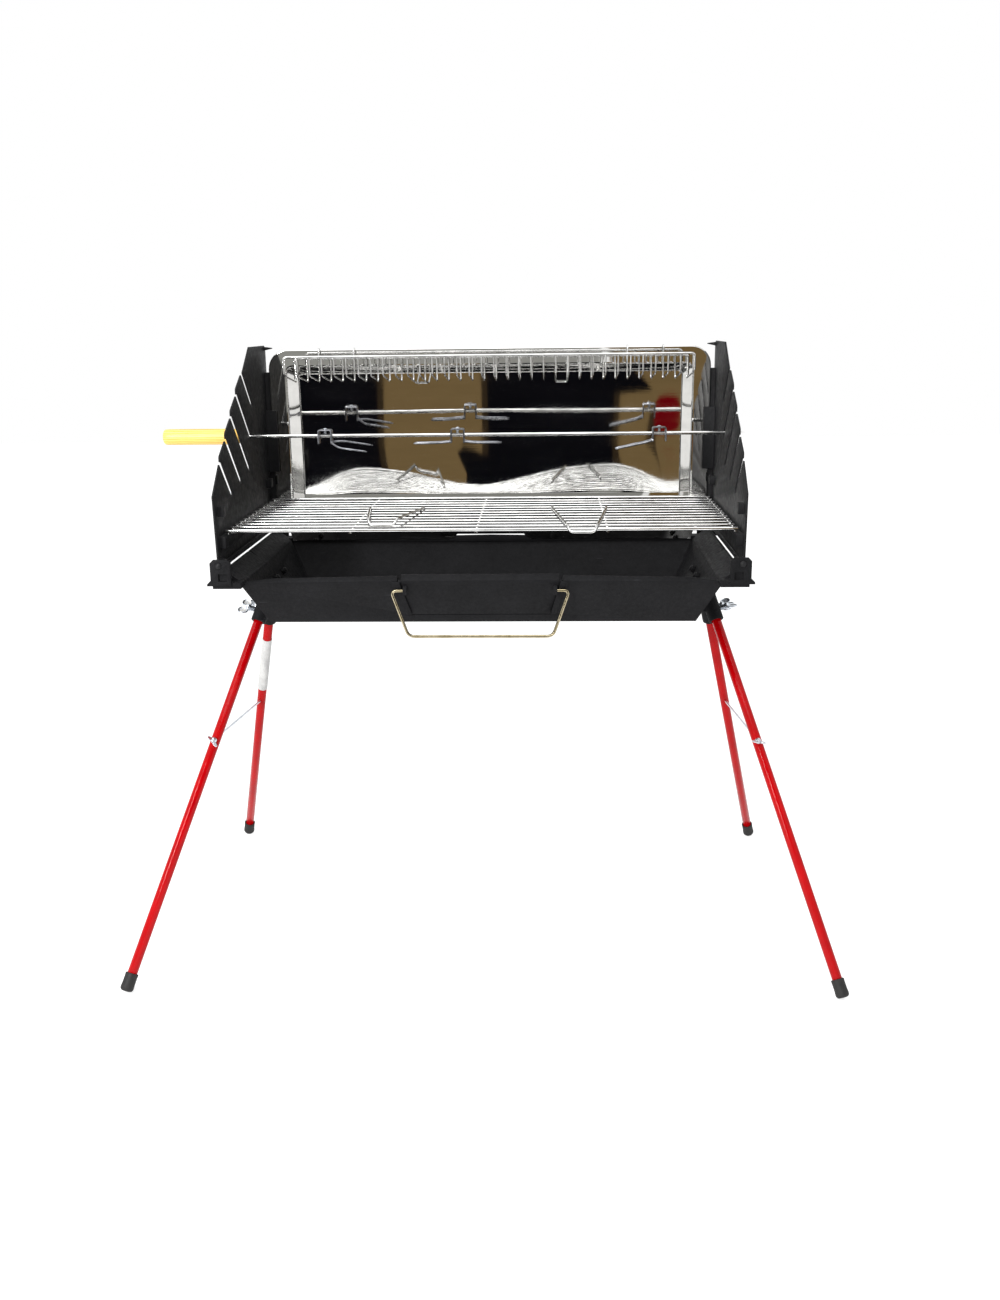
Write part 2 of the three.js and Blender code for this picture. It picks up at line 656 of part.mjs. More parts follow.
// ---------------------------------------------------------------- cooking grate

const crossZ = -GRATE.bar * 2 + 0.5;
const barPitch = (GRATE.backY - GRATE.frontY - 2 * GRATE.edgeGap) / (GRATE.bars - 1);
const barY = (i) => GRATE.frontY + GRATE.edgeGap + i * barPitch;
const LOOP_BAR = 6; // the bar that the grate's lifting loops turn on

function grate() {
  const { halfX, frontY, backY, rim, bar, bars } = GRATE;
  const runs = [];
  for (const y of [frontY, backY]) runs.push(rod(v(-halfX, y, 0), v(halfX, y, 0), rim, 8));
  for (let i = 0; i < bars; i++) runs.push(rod(v(-halfX, barY(i), 0), v(halfX, barY(i), 0), bar, WIRE_SIDES));
  for (const x of GRATE_CROSS_X) runs.push(rod(v(x, frontY, crossZ), v(x, backY, crossZ), bar, WIRE_SIDES));
  const mesh = piece("grate", join(runs), chrome);
  mesh.position.z = GRATE.z;
  return mesh;
}

// A lifting loop: its ends curl round the pivot bar, and its grip is bent down at the front.
function grateLoop({ name, x, reach, tilt }) {
  const { half, gripHalf, wire: r, eye, hook, bend, lift } = LOOP;
  const arm = (side) => [
    v(side * half, -eye, -eye),
    v(side * half, eye, -eye),
    v(side * half, eye, lift),
    v(side * half, -eye * 2, lift),
    v(side * (gripHalf + 4), -reach + 10, lift),
    v(side * gripHalf, -reach, lift - hook),
  ];
  const corners = [...arm(-1), ...arm(1).reverse()];
  const mesh = piece("grate_handle_" + name, wire(corners, r, { bend, arcSteps: 3 }), chrome);
  mesh.position.set(x, barY(LOOP_BAR), GRATE.z);
  mesh.rotation.x = -THREE.MathUtils.degToRad(tilt);
  return mesh;
}

// ---------------------------------------------------------------- reflector and warming rack

function reflector() {
  const { halfX, z0, z1, y, sheet, border, depth, corner } = REFLECTOR;
  const flange = new THREE.Shape();
  flange.moveTo(-halfX, z0);
  flange.lineTo(-APRON.halfX, z0);
  flange.lineTo(-APRON.halfX, APRON.z);
  flange.lineTo(APRON.halfX, APRON.z);
  flange.lineTo(APRON.halfX, z0);
  flange.lineTo(halfX, z0);
  flange.lineTo(halfX, z1 - corner);
  flange.absarc(halfX - corner, z1 - corner, corner, 0, Math.PI / 2, false);
  flange.lineTo(-halfX + corner, z1);
  flange.absarc(-halfX + corner, z1 - corner, corner, Math.PI / 2, Math.PI, false);
  const front = y - sheet / 2;
  const pan = (grow, low) => {
    const [wide, top] = [halfX - border + grow, z1 - border + 2 + grow];
    const frontCorners = [-wide, wide].flatMap((x) => [v(x, front - grow, low), v(x, front - grow, top)]);
    const [thin, less] = [wide - PANEL_INSET, top - PANEL_INSET];
    const deep = y + depth + grow;
    const backCorners = [-thin, thin].flatMap((x) => [v(x, deep + PANEL_LEAN, low), v(x, deep, less)]);
    return hull([...frontCorners, ...backCorners]);
  };
  const outer = pan(sheet, z0).subtract(box(-500, 500, front - 20, front, 0, 2000));
  const body = extrudeY(flange, front, front + sheet).add(outer).subtract(pan(0, z0 + sheet));
  return piece("reflector", body, stainless);
}

function warmingRack() {
  const { wires, pitch, midX, rearY, frontY, wire: r, rail } = RACK;
  const xAt = (i) => midX + (i - (wires - 1) / 2) * pitch;
  const [first, last] = [xAt(0), xAt(wires - 1)];
  const runs = [
    rod(v(first - 4, rearY, RACK_REAR.top), v(last + 4, rearY, RACK_REAR.top), rail, WIRE_SIDES),
    rod(v(first - 4, frontY, RACK_FRONT.top), v(last + 4, frontY, RACK_FRONT.top), rail, WIRE_SIDES),
  ];
  const over = REFLECTOR.z1 + GAP + r;
  const hookY = REFLECTOR.y + 6;
  for (let i = 0; i < wires; i++) {
    const bent = [
      [rearY, RACK_REAR.top],
      [rearY, RACK_REAR.bottom],
      [frontY, RACK_FRONT.bottom],
      [frontY, RACK_FRONT.top],
    ];
    if (RACK_HOOKS.includes(i)) bent.splice(0, 1, [hookY, over - 13], [hookY, over], [rearY, over]);
    runs.push(extrudeX(strip(bent, r), xAt(i) - r, xAt(i) + r));
  }
  const panelY = REFLECTOR.y + REFLECTOR.depth - 1.5 - r;
  const loopEnd = (i) => v(xAt(i), rearY - 1, RACK_REAR.bottom);
  const loopBend = (i) => v(xAt(i), panelY, RACK_REAR.bottom - RACK_FEET.drop);
  for (const i of RACK_FEET.at) {
    const corners = [loopEnd(i), loopBend(i), loopBend(i - 1), loopEnd(i - 1)];
    runs.push(wire(corners, r, { bend: 4, arcSteps: 2, sides: 5 }));
  }
  return piece("warming_rack", join(runs), chrome);
}

// ---------------------------------------------------------------- stand

const apex = v(APEX.x, APEX.y, APEX.z);
const footCentre = (end) => v(FEET[end][0], FEET[end][1], FOOT_CENTRE_Z);
const legRun = (end) => footCentre(end).sub(apex).normalize();
const legPoint = (end, distance) => apex.clone().addScaledVector(legRun(end), distance);
const legLength = (end) => footCentre(end).distanceTo(apex);

// Each wing screw points outwards, square to its leg.
function screwAxis(end) {
  const run = legRun(end);
  return v(1, 0, 0).addScaledVector(run, -run.x).normalize();
}

const tieRun = legPoint("front", TIE_AT.front).sub(legPoint("rear", TIE_AT.rear)).normalize();
const tieFront = legPoint("front", TIE_AT.front);
const tieRear = legPoint("rear", TIE_AT.rear);

function legBracket() {
  const slab = new THREE.Matrix4().makeRotationY(WALL_ANGLE);
  slab.setPosition(halfXAt(BOLT.z), MID_Y, BOLT.z);
  const wallFace = solid(new THREE.BoxGeometry(200, 600, 400).translate(-100 + 0.4, 0, 0), slab);
  const plate = solid(new THREE.BoxGeometry(5.5, 88, 46).translate(2.75 + 0.4, 0, -8), slab);
  const at = (x, y, z) => v(x, MID_Y + y, z);
  const hub = hull([
    ...[-1, 1].flatMap((s) => [at(342, s * 26, 556), at(352, s * 26, 580), at(386, s * 22, 568)]),
    ...[-1, 1].flatMap((s) => [at(350, s * 34, 548), at(396, s * 26, 552), at(394, s * 30, 536)]),
  ]);
  let body = plate.add(hub);
  for (const end of ["front", "rear"]) {
    body = body.add(rod(legPoint(end, SOCKET.start), legPoint(end, SOCKET.end[end]), SOCKET.r, ROUND));
  }
  body = body.subtract(wallFace);
  for (const end of ["front", "rear"]) {
    body = body.subtract(rod(legPoint(end, LEG.start - GAP), legPoint(end, 300), LEG.r + GAP, ROUND));
    const hole = legPoint(end, SOCKET.screwAt[end]);
    const outside = hole.clone().addScaledVector(screwAxis(end), 40);
    body = body.subtract(rod(hole, outside, WING_SCREW.r + GAP + 0.2, 12));
  }
  for (const y of [-BOLT.y, BOLT.y]) {
    const { at, out } = boltPlace(1, y);
    body = body.subtract(rod(at, at.clone().addScaledVector(out, 40), BOLT.r + 0.4, 12));
    const seat = at.clone().addScaledVector(out, 5.9);
    body = body.subtract(rod(seat, at.clone().addScaledVector(out, 60), BOLT.head + 1.5, 12));
  }
  return body;
}

function bracketBolt(y) {
  const { at, out } = boltPlace(1, y);
  const inner = -WALL - GAP; // the nut's face inside the firebox
  const outer = 5.9 + GAP;
  const shank = turned(at, at.clone().add(out), [
    [0, inner - 9],
    [BOLT.r, inner - 9],
    [BOLT.r, outer + 1],
    [0, outer + 1],
  ], 12);
  const nutProfile = [[0, inner - 6], [BOLT.head, inner - 6], [BOLT.head, inner], [0, inner]];
  const nut = turned(at, at.clone().add(out), nutProfile, 6);
  const head = [[0, outer], [BOLT.head, outer], [BOLT.head, outer + BOLT.high], [0, outer + BOLT.high]];
  return join([shank, nut, turned(at, at.clone().add(out), head, 6)]);
}

function leg(end) {
  const tube = tubeProfile(LEG.r, LEG.r - LEG.wall, LEG.start, legLength(end) - LEG.short);
  const body = turned(apex, footCentre(end), tube);
  const tieHole = rod(
    tieFront.clone().addScaledVector(tieRun, 30),
    tieRear.clone().addScaledVector(tieRun, -30),
    TIE.r + 0.4,
    10,
  );
  return body.subtract(tieHole);
}

function footCap(end) {
  const length = legLength(end);
  const dome = [0, 1, 2, 3, 4].map((i) => {
    const turn = (Math.PI / 2) * (1 - i / 4);
    return [CAP.r * Math.sin(turn), length + CAP.r * Math.cos(turn)];
  });
  const profile = [[0, length - LEG.short + GAP], [LEG.r + GAP, length - LEG.short + GAP]];
  const top = length - CAP.long;
  profile.push([LEG.r + GAP, top], [CAP.r - 0.8, top], [CAP.r, top + 1.5]);
  const body = turned(apex, footCentre(end), [...profile, ...dome]);
  return body.subtract(box(-1000, 1000, -1000, 1000, -100, 0));
}

function tieRod() {
  const back = tieRear.clone().addScaledVector(tieRun, -TIE.rear);
  const length = tieFront.distanceTo(back) + TIE.front;
  return turned(back, tieFront, [
    [0, -2.2],
    [TIE.head, -1.6],
    [TIE.head, 0],
    [TIE.r, 0],
    [TIE.r, length],
    [0, length],
  ], 10);
}

// Two ears on a hub, turned about the line from one point towards another.
function wings(from, to, radius, start, thick, spin) {
  const place = along(from, to).multiply(new THREE.Matrix4().makeRotationY(spin));
  const lobes = [-1, 1].map((side) => {
    const lobe = new THREE.CylinderGeometry(radius, radius, thick, 12).rotateX(Math.PI / 2);
    lobe.scale(1, 1.15, 1);
    lobe.rotateZ(-side * 0.5);
    lobe.translate(side * radius * 1.15, start + radius * 1.15, 0);
    return solid(lobe, place);
  });
  return join(lobes);
}

function wingScrew(end, spin) {
  const centre = legPoint(end, SOCKET.screwAt[end]);
  const out = centre.clone().add(screwAxis(end));
  const tip = LEG.r + GAP;
  const shaft = turned(centre, out, [
    [0, tip],
    [WING_SCREW.r, tip],
    [WING_SCREW.r, WING_SCREW.reach],
    [WING_SCREW.hub, WING_SCREW.reach],
    [WING_SCREW.hub - 1, WING_SCREW.reach + 7],
    [0, WING_SCREW.reach + 7],
  ], 12);
  return shaft.add(wings(centre, out, WING_SCREW.wing, WING_SCREW.reach, 2.6, spin));
}

function tieWingNut(spin) {
  const [hub, high] = [WING_NUT.hub, WING_NUT.high];
  const start = WING_NUT.start;
  const ahead = tieFront.clone().add(tieRun);
  const body = turned(tieFront, ahead, tubeProfile(hub, TIE.r + GAP + 0.1, start, start + high), 12);
  const lobes = wings(tieFront, ahead, WING_NUT.wing, start + WING_NUT.wingStart, 2, spin);
  const bore = rod(tieFront, tieFront.clone().addScaledVector(tieRun, 40), TIE.r + GAP + 0.1, 12);
  return body.add(lobes).subtract(bore);
}

function labelSleeve() {
  const tube = tubeProfile(LEG.r + LABEL.clear + LABEL.thick, LEG.r + LABEL.clear, LABEL.from, LABEL.to);
  return turned(apex, footCentre("rear"), tube);
}

// Everything that stands at one end of the barbecue, drawn for the right-hand end.
function endAssembly(side) {
  const left = side === "left";
  const group = new THREE.Group();
  if (left) group.scale.x = -1;
  group.add(piece("side_plate_" + side, sidePlate(), castIron));
  group.add(piece("leg_bracket_" + side, legBracket(), castIron));
  group.add(piece("bracket_bolt_front_" + side, bracketBolt(-BOLT.y), blackSteel));
  group.add(piece("bracket_bolt_rear_" + side, bracketBolt(BOLT.y), blackSteel));
  const spins = left ? { front: 0.3, rear: 0.15, nut: -0.68 } : { front: -0.25, rear: 0.2, nut: 1.41 };
  for (const end of ["front", "rear"]) {
    group.add(piece("plate_pin_" + end + "_" + side, platePin(end === "front" ? -1 : 1), blackSteel));
    group.add(piece("leg_" + end + "_" + side, leg(end), redPaint));
    group.add(piece("foot_cap_" + end + "_" + side, footCap(end), blackRubber));
    group.add(piece("leg_wing_screw_" + end + "_" + side, wingScrew(end, spins[end]), zinc));
  }
  group.add(piece("tie_rod_" + side, tieRod(), zinc));
  group.add(piece("tie_wing_nut_" + side, tieWingNut(spins.nut), zinc));
  if (left) group.add(piece("leg_label", labelSleeve(), whitePaper));
  return group;
}

// ---------------------------------------------------------------- assembly

const barbecue = new THREE.Group();
barbecue.add(firebox(), hatch(), bailHandle(), endAssembly("left"), endAssembly("right"));

const spit = new THREE.Group();
spit.position.copy(spitAxis);
spit.add(...spitPieces(), ...FORKS.map(fork));
barbecue.add(spit);

barbecue.add(grate(), ...GRATE_LOOPS.map(grateLoop), reflector(), warmingRack());

export default barbecue;
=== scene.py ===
"""Looks of the rotisserie spit roaster: castings, wires, tubes, folded sheet and their materials."""

import json
import math

import bmesh
import bpy
from mathutils import Matrix, Vector


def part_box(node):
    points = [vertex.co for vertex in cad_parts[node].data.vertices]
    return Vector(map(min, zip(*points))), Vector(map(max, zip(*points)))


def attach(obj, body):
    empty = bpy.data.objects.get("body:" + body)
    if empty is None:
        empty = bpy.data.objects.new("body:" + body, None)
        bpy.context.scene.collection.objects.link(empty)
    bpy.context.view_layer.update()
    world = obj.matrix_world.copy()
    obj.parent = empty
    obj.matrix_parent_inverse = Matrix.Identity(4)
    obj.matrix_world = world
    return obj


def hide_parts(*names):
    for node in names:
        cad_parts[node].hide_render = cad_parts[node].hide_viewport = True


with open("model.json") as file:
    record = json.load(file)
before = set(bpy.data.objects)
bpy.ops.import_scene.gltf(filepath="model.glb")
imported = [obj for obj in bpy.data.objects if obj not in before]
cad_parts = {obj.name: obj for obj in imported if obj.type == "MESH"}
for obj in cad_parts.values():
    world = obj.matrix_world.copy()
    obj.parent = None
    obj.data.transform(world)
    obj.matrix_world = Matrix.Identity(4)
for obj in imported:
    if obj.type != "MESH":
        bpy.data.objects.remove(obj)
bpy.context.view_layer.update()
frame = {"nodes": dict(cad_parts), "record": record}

# ---------------------------------------------------------------- dimensions in millimetres, as in the CAD

MM = 0.001
RIM_Z, FLOOR_Z, LEAN = 628.0, 557.0, 37.0
RIM_FRONT_Y, RIM_BACK_Y, RIM_HALF_X = -158.0, 236.0, 379.0
MID_Y = (RIM_FRONT_Y + RIM_BACK_Y) / 2
WALL_ANGLE = math.atan(LEAN / (RIM_Z - FLOOR_Z))
APEX = Vector((371, MID_Y, 591))
FEET = {"front": Vector((561, -318, 9)), "rear": Vector((514, 318, 9))}
LEG_R, LEG_START, CAP_R, CAP_LONG = 8.0, 34.0, 10.5, 24.0
SOCKET = {"front": 56.0, "rear": 62.0}
TIE_AT = {"front": 288.0, "rear": 286.0}
BOLT_Z, BOLT_Y = 600.0, {"front": -30, "rear": 30}
LABEL = {"start": 132, "end": 254}
BAIL = {"down": 10, "out": 6.6, "wire": 2.5, "end": 120, "wide": 140, "narrow": 114, "drop": 74, "bend": 10}
GRATE = {"half": 401, "front": -140, "back": 212, "z": 709, "rim": 3.0, "bar": 2.2, "bars": 11, "edge": 35}
CROSS_X = (-397.5, -204, -6, 200, 397.5)
RACK = {"wires": 34, "pitch": 21.2, "mid": 4, "wire": 1.4, "rail": 2.0}
RACK_HOOKS, RACK_FEET = (2, 5, 28, 31), (11, 23)
RACK_REAR = {"y": 212, "top": 962, "rail_foot": 926, "wire_foot": 921, "grow": 1.6}
RACK_FRONT = {"y": 118, "top": 967, "rail_foot": 939, "wire_foot": 935, "grow": 2.4}
RACK_FOOT_Z = 914.5
REFLECTOR = {"half": 397, "z0": 709, "z1": 977, "y": 224, "border": 32, "depth": 46, "corner": 34}
PANEL = {"half": 351, "low": 709, "high": 933, "inset": 14, "throat": 4.5, "lean": 4}
# The panel's bow across its width, its belly up its height, and the waves that fade out above its foot.
RIPPLE = {"bow": 6.0, "level": 0.35, "belly": 11.6, "foot": 1.55, "fade": 0.42, "slow": 0.16}
WAVES = ((-352, 1.0), (-236, -0.7), (-19, 0.9), (225, -1.0), (335, 0.7))
APRON = {"half": 377.6, "z": 631.5, "taper": 9, "notch_half": 66, "notch": 10}


def box_mm(node):
    low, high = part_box(node)
    return low / MM, high / MM


# ---------------------------------------------------------------- materials


class Shader:
    """A short way to build one node material around a Principled shader."""

    def __init__(self, name, **sockets):
        self.material = bpy.data.materials.new(name)
        self.material.use_nodes = True
        self.tree = self.material.node_tree
        self.shader = self.tree.nodes["Principled BSDF"]
        for socket, value in sockets.items():
            self.shader.inputs[socket.replace("_", " ")].default_value = value
        self.place = self.node("ShaderNodeTexCoord").outputs["Object"]

    def node(self, kind, **fields):
        made = self.tree.nodes.new(kind)
        for field, value in fields.items():
            setattr(made, field, value)
        return made

    def link(self, source, target):
        self.tree.links.new(source, target)

    def into(self, socket, source):
        self.link(source, self.shader.inputs[socket])

    def stretched(self, x, y, z):
        mapping = self.node("ShaderNodeMapping")
        mapping.inputs["Scale"].default_value = (x, y, z)
        self.link(self.place, mapping.inputs["Vector"])
        return mapping.outputs["Vector"]

    def noise(self, scale, detail=3.0, rough=0.5, place=None):
        made = self.node("ShaderNodeTexNoise")
        made.inputs["Scale"].default_value = scale
        made.inputs["Detail"].default_value = detail
        made.inputs["Roughness"].default_value = rough
        self.link(place or self.place, made.inputs["Vector"])
        return made.outputs["Fac"]

    def ramp(self, source, *stops):
        made = self.node("ShaderNodeValToRGB")
        elements = made.color_ramp.elements
        while len(elements) < len(stops):
            elements.new(0.5)
        for element, (position, colour) in zip(elements, stops):
            element.position = position
            element.color = (*colour, 1) if len(colour) == 3 else colour
        self.link(source, made.inputs["Fac"])
        return made.outputs["Color"]

    def level(self, source, low, high, start=0.0, end=1.0):
        made = self.node("ShaderNodeMapRange")
        for socket, value in (("From Min", start), ("From Max", end), ("To Min", low), ("To Max", high)):
            made.inputs[socket].default_value = value
        self.link(source, made.inputs["Value"])
        return made.outputs["Result"]

    def mix(self, factor, a, b, blend="MIX"):
        made = self.node("ShaderNodeMix", data_type="RGBA", blend_type=blend)
        for socket, value in ((0, factor), (6, a), (7, b)):
            if hasattr(value, "is_linked"):
                self.link(value, made.inputs[socket])
            else:
                made.inputs[socket].default_value = value if socket == 0 else (*value, 1)
        return made.outputs[2]

    def add(self, a, b, share=1.0):
        made = self.node("ShaderNodeMath", operation="MULTIPLY_ADD")
        self.link(b, made.inputs[0])
        made.inputs[1].default_value = share
        self.link(a, made.inputs[2])
        return made.outputs[0]

    def bump(self, height, strength, distance):
        made = self.node("ShaderNodeBump")
        made.inputs["Strength"].default_value = strength
        made.inputs["Distance"].default_value = distance
        self.link(height, made.inputs["Height"])
        self.into("Normal", made.outputs["Normal"])


def cast_iron():
    s = Shader("sand_cast_iron", Metallic=0.0, Specular_IOR_Level=0.1)
    sand = s.noise(1100, 2.0, 0.6)
    skin = s.noise(170, 4.0, 0.6)
    cloud = s.noise(14, 3.0, 0.55)
    scratch = s.noise(60, 2.0, 0.5, s.stretched(0.18, 1.0, 3.2))
    base = s.ramp(cloud, (0.3, (0.0038, 0.0038, 0.0042)), (0.7, (0.0068, 0.0068, 0.0076)))
    grain = s.ramp(sand, (0.45, (0.0, 0.0, 0.0)), (0.8, (0.016, 0.016, 0.018)))
    base = s.mix(0.55, base, grain, "ADD")
    lines = s.ramp(scratch, (0.735, (0.0, 0.0, 0.0)), (0.765, (0.03, 0.03, 0.034)))
    s.into("Base Color", s.mix(0.6, base, lines, "ADD"))
    s.into("Roughness", s.level(skin, 0.5, 0.78, 0.25, 0.75))
    s.bump(s.add(skin, sand, 0.5), 0.42, 0.0006)
    return s.material


def plate_iron():
    s = Shader("side_plate_iron", Metallic=0.0, Specular_IOR_Level=0.14)
    sand = s.noise(900, 2.0, 0.6)
    skin = s.noise(120, 4.0, 0.6)
    cloud = s.noise(9, 4.0, 0.6)
    base = s.ramp(cloud, (0.3, (0.0042, 0.0042, 0.0048)), (0.72, (0.0088, 0.0088, 0.0098)))
    grain = s.ramp(sand, (0.5, (0.0, 0.0, 0.0)), (0.85, (0.018, 0.018, 0.02)))
    s.into("Base Color", s.mix(0.5, base, grain, "ADD"))
    s.into("Roughness", s.level(skin, 0.42, 0.68, 0.25, 0.75))
    s.bump(s.add(skin, sand, 0.4), 0.4, 0.0006)
    return s.material


def chrome():
    s = Shader("bright_chrome", Metallic=1.0)
    haze = s.noise(90, 3.0, 0.6)
    s.into("Base Color", s.ramp(s.noise(35, 2.0), (0.35, (0.62, 0.62, 0.61)), (0.65, (0.86, 0.86, 0.85))))
    s.into("Roughness", s.level(haze, 0.07, 0.2, 0.3, 0.7))
    s.bump(s.noise(420, 2.0), 0.06, 0.0004)
    return s.material


def stainless():
    s = Shader("polished_stainless", Metallic=1.0)
    smear = s.noise(16, 4.0, 0.6, s.stretched(0.35, 1.0, 1.6))
    brush = s.noise(240, 2.0, 0.5, s.stretched(0.06, 1.0, 3.0))
    s.into("Base Color", s.ramp(smear, (0.3, (0.74, 0.735, 0.72)), (0.7, (0.84, 0.835, 0.82))))
    s.into("Roughness", s.level(smear, 0.015, 0.07, 0.35, 0.75))
    s.bump(brush, 0.02, 0.0002)
    return s.material


def red_enamel():
    s = Shader("red_enamel", Metallic=0.0, Specular_IOR_Level=0.16)
    cloud = s.noise(26, 3.0, 0.6)
    speck = s.noise(700, 2.0, 0.6)
    base = s.ramp(cloud, (0.3, (0.29, 0.0003, 0.0015)), (0.7, (0.38, 0.0005, 0.002)))
    s.into("Base Color", s.mix(s.level(speck, 0.0, 0.4, 0.72, 0.8), base, (0.25, 0.001, 0.003)))
    s.into("Roughness", s.level(cloud, 0.1, 0.16, 0.3, 0.7))
    s.bump(s.noise(260, 2.0), 0.1, 0.0004)
    return s.material


def rubber():
    s = Shader("black_rubber", Metallic=0.0, Specular_IOR_Level=0.35)
    dust = s.noise(150, 4.0, 0.65)
    s.into("Base Color", s.ramp(dust, (0.35, (0.006, 0.006, 0.006)), (0.75, (0.021, 0.02, 0.019))))
    s.into("Roughness", s.level(dust, 0.5, 0.8, 0.3, 0.7))
    s.bump(s.noise(800, 3.0, 0.6), 0.2, 0.0003)
    return s.material


def wood():
    s = Shader("varnished_beech", Metallic=0.0, Specular_IOR_Level=0.3)
    rings = s.node("ShaderNodeTexWave", wave_type="RINGS", rings_direction="X")
    rings.inputs["Scale"].default_value = 60
    rings.inputs["Distortion"].default_value = 5.0
    rings.inputs["Detail"].default_value = 3.0
    s.link(s.stretched(0.12, 1.0, 1.7), rings.inputs["Vector"])
    fibre = s.noise(300, 4.0, 0.6, s.stretched(0.05, 1.0, 1.0))
    tones = (0.1, (0.72, 0.36, 0.07)), (0.55, (0.86, 0.55, 0.13)), (0.9, (0.95, 0.68, 0.2))
    base = s.ramp(rings.outputs["Fac"], *tones)
    pores = s.ramp(fibre, (0.3, (0.62, 0.33, 0.08)), (0.46, (1.0, 1.0, 1.0)))
    s.into("Base Color", s.mix(0.3, base, pores, "MULTIPLY"))
    s.into("Roughness", s.level(fibre, 0.26, 0.42, 0.3, 0.7))
    s.bump(fibre, 0.12, 0.0003)
    return s.material


def black_steel():
    s = Shader("black_painted_steel", Metallic=0.0, Specular_IOR_Level=0.22)
    cloud = s.noise(120, 3.0, 0.6)
    s.into("Base Color", s.ramp(cloud, (0.3, (0.005, 0.005, 0.0055)), (0.7, (0.0095, 0.0095, 0.0105))))
    s.into("Roughness", s.level(cloud, 0.35, 0.6, 0.3, 0.7))
    s.bump(s.noise(600, 2.0), 0.15, 0.0003)
    return s.material


def plated(name, dark, light, low, high):
    s = Shader(name, Metallic=1.0)
    cloud = s.noise(55, 3.0, 0.6)
    fine = s.noise(480, 3.0, 0.6)
    s.into("Base Color", s.ramp(cloud, (0.32, dark), (0.68, light)))
    s.into("Roughness", s.level(fine, low, high, 0.3, 0.7))
    s.bump(fine, 0.08, 0.0003)
    return s.material


def blank_label():
    s = Shader("blank_label_film", Metallic=0.0, Specular_IOR_Level=0.45)
    crease = s.noise(45, 3.0, 0.6, s.stretched(1.0, 1.0, 0.4))
    # The film's colour is darker in the valleys of the crease noise that also raises its bump: painted shade
    # of the creases.
    s.into("Base Color", s.ramp(crease, (0.35, (0.36, 0.36, 0.355)), (0.6, (0.5, 0.5, 0.49))))
    s.into("Roughness", s.level(crease, 0.35, 0.55, 0.3, 0.7))
    s.bump(crease, 0.25, 0.0006)
    return s.material


MATERIALS = {
    "cast_iron": cast_iron(),
    "chrome": chrome(),
    "stainless": stainless(),
    "red_paint": red_enamel(),
    "rubber": rubber(),
    "varnished_wood": wood(),
    "black_steel": black_steel(),
    "zinc": plated("blue_white_zinc", (0.5, 0.53, 0.57), (0.74, 0.78, 0.83), 0.2, 0.38),
    "yellow_zinc": plated("yellow_zinc", (0.3, 0.25, 0.14), (0.52, 0.46, 0.33), 0.14, 0.28),
    "fork_steel": plated("fork_steel", (0.16, 0.165, 0.18), (0.36, 0.37, 0.4), 0.22, 0.36),
    "label": blank_label(),
}
PLATE_IRON = plate_iron()

# ---------------------------------------------------------------- mesh helpers


def full_turn(steps):
    """Evenly spaced angles once round."""
    return [2 * math.pi * i / steps for i in range(steps)]


class Sketch:
    """Vertices in millimetres and faces, gathered before they become one object."""

    def __init__(self):
        self.verts = []
        self.faces = []

    def take(self, verts, faces):
        base = len(self.verts)
        self.verts += [tuple(v) for v in verts]
        self.faces += [tuple(base + i for i in face) for face in faces]

    def rings(self, rings):
        """Skins rings of equal length and closes both ends; a ring of one point is a tip."""
        verts, starts = [], []
        for ring in rings:
            starts.append((len(verts), len(ring)))
            verts += ring
        faces = []
        for (a, na), (b, nb) in zip(starts, starts[1:]):
            n = max(na, nb)
            for i in range(n):
                j = (i + 1) % n
                if na == 1:
                    faces.append((a, b + j, b + i))
                elif nb == 1:
                    faces.append((a + i, a + j, b))
                else:
                    faces.append((a + i, a + j, b + j, b + i))
        (a, na), (b, nb) = starts[0], starts[-1]
        if na > 2:
            faces.append(tuple(range(a + na - 1, a - 1, -1)))
        if nb > 2:
            faces.append(tuple(range(b, b + nb)))
        self.take(verts, faces)

    def mirrored(self, side):
        self.verts = [(x * side, y, z) for x, y, z in self.verts]
        return self

    def tube(self, points, radius, sides=12):
        """A round wire along points; radius is one number, or one per point."""
        section = [(math.cos(turn), math.sin(turn)) for turn in full_turn(sides)]
        radii = [radius] * len(points) if isinstance(radius, (int, float)) else radius
        self.sweep(points, section, radii)

    def wire(self, points, radius, sides):
        """A round wire whose two ends are eased."""
        eased = radius * 0.8
        self.tube(points, [eased] + [radius] * (len(points) - 2) + [eased], sides)

    def sweep(self, points, section, scales):
        """Carries a flat section along points, without twist, with one scale per point."""
        points = [Vector(p) for p in points]
        tangents = []
        for i in range(len(points)):
            ahead = points[min(i + 1, len(points) - 1)] - points[max(i - 1, 0)]
            tangents.append(ahead.normalized())
        side = tangents[0].orthogonal().normalized()
        if abs(tangents[0].x) < 0.9:
            side = (Vector((1, 0, 0)) - tangents[0] * tangents[0].x).normalized()
        rings, last = [], tangents[0]
        for point, tangent, scale in zip(points, tangents, scales):
            side = last.rotation_difference(tangent) @ side
            side = (side - tangent * side.dot(tangent)).normalized()
            other = tangent.cross(side)
            last = tangent
            rings.append([point + (side * a + other * b) * scale for a, b in section])
        self.rings(rings)

    def lathe(self, start, end, profile, sides):
        """Turns [radius, distance] pairs about the line from start towards end."""
        start, axis = Vector(start), (Vector(end) - Vector(start)).normalized()
        side = axis.orthogonal().normalized()
        other = axis.cross(side)
        rings = []
        for radius, distance in profile:
            centre = start + axis * distance
            if radius < 1e-6:
                rings.append([centre])
                continue
            spokes = [side * math.cos(turn) + other * math.sin(turn) for turn in full_turn(sides)]
            rings.append([centre + spoke * radius for spoke in spokes])
        self.rings(rings)


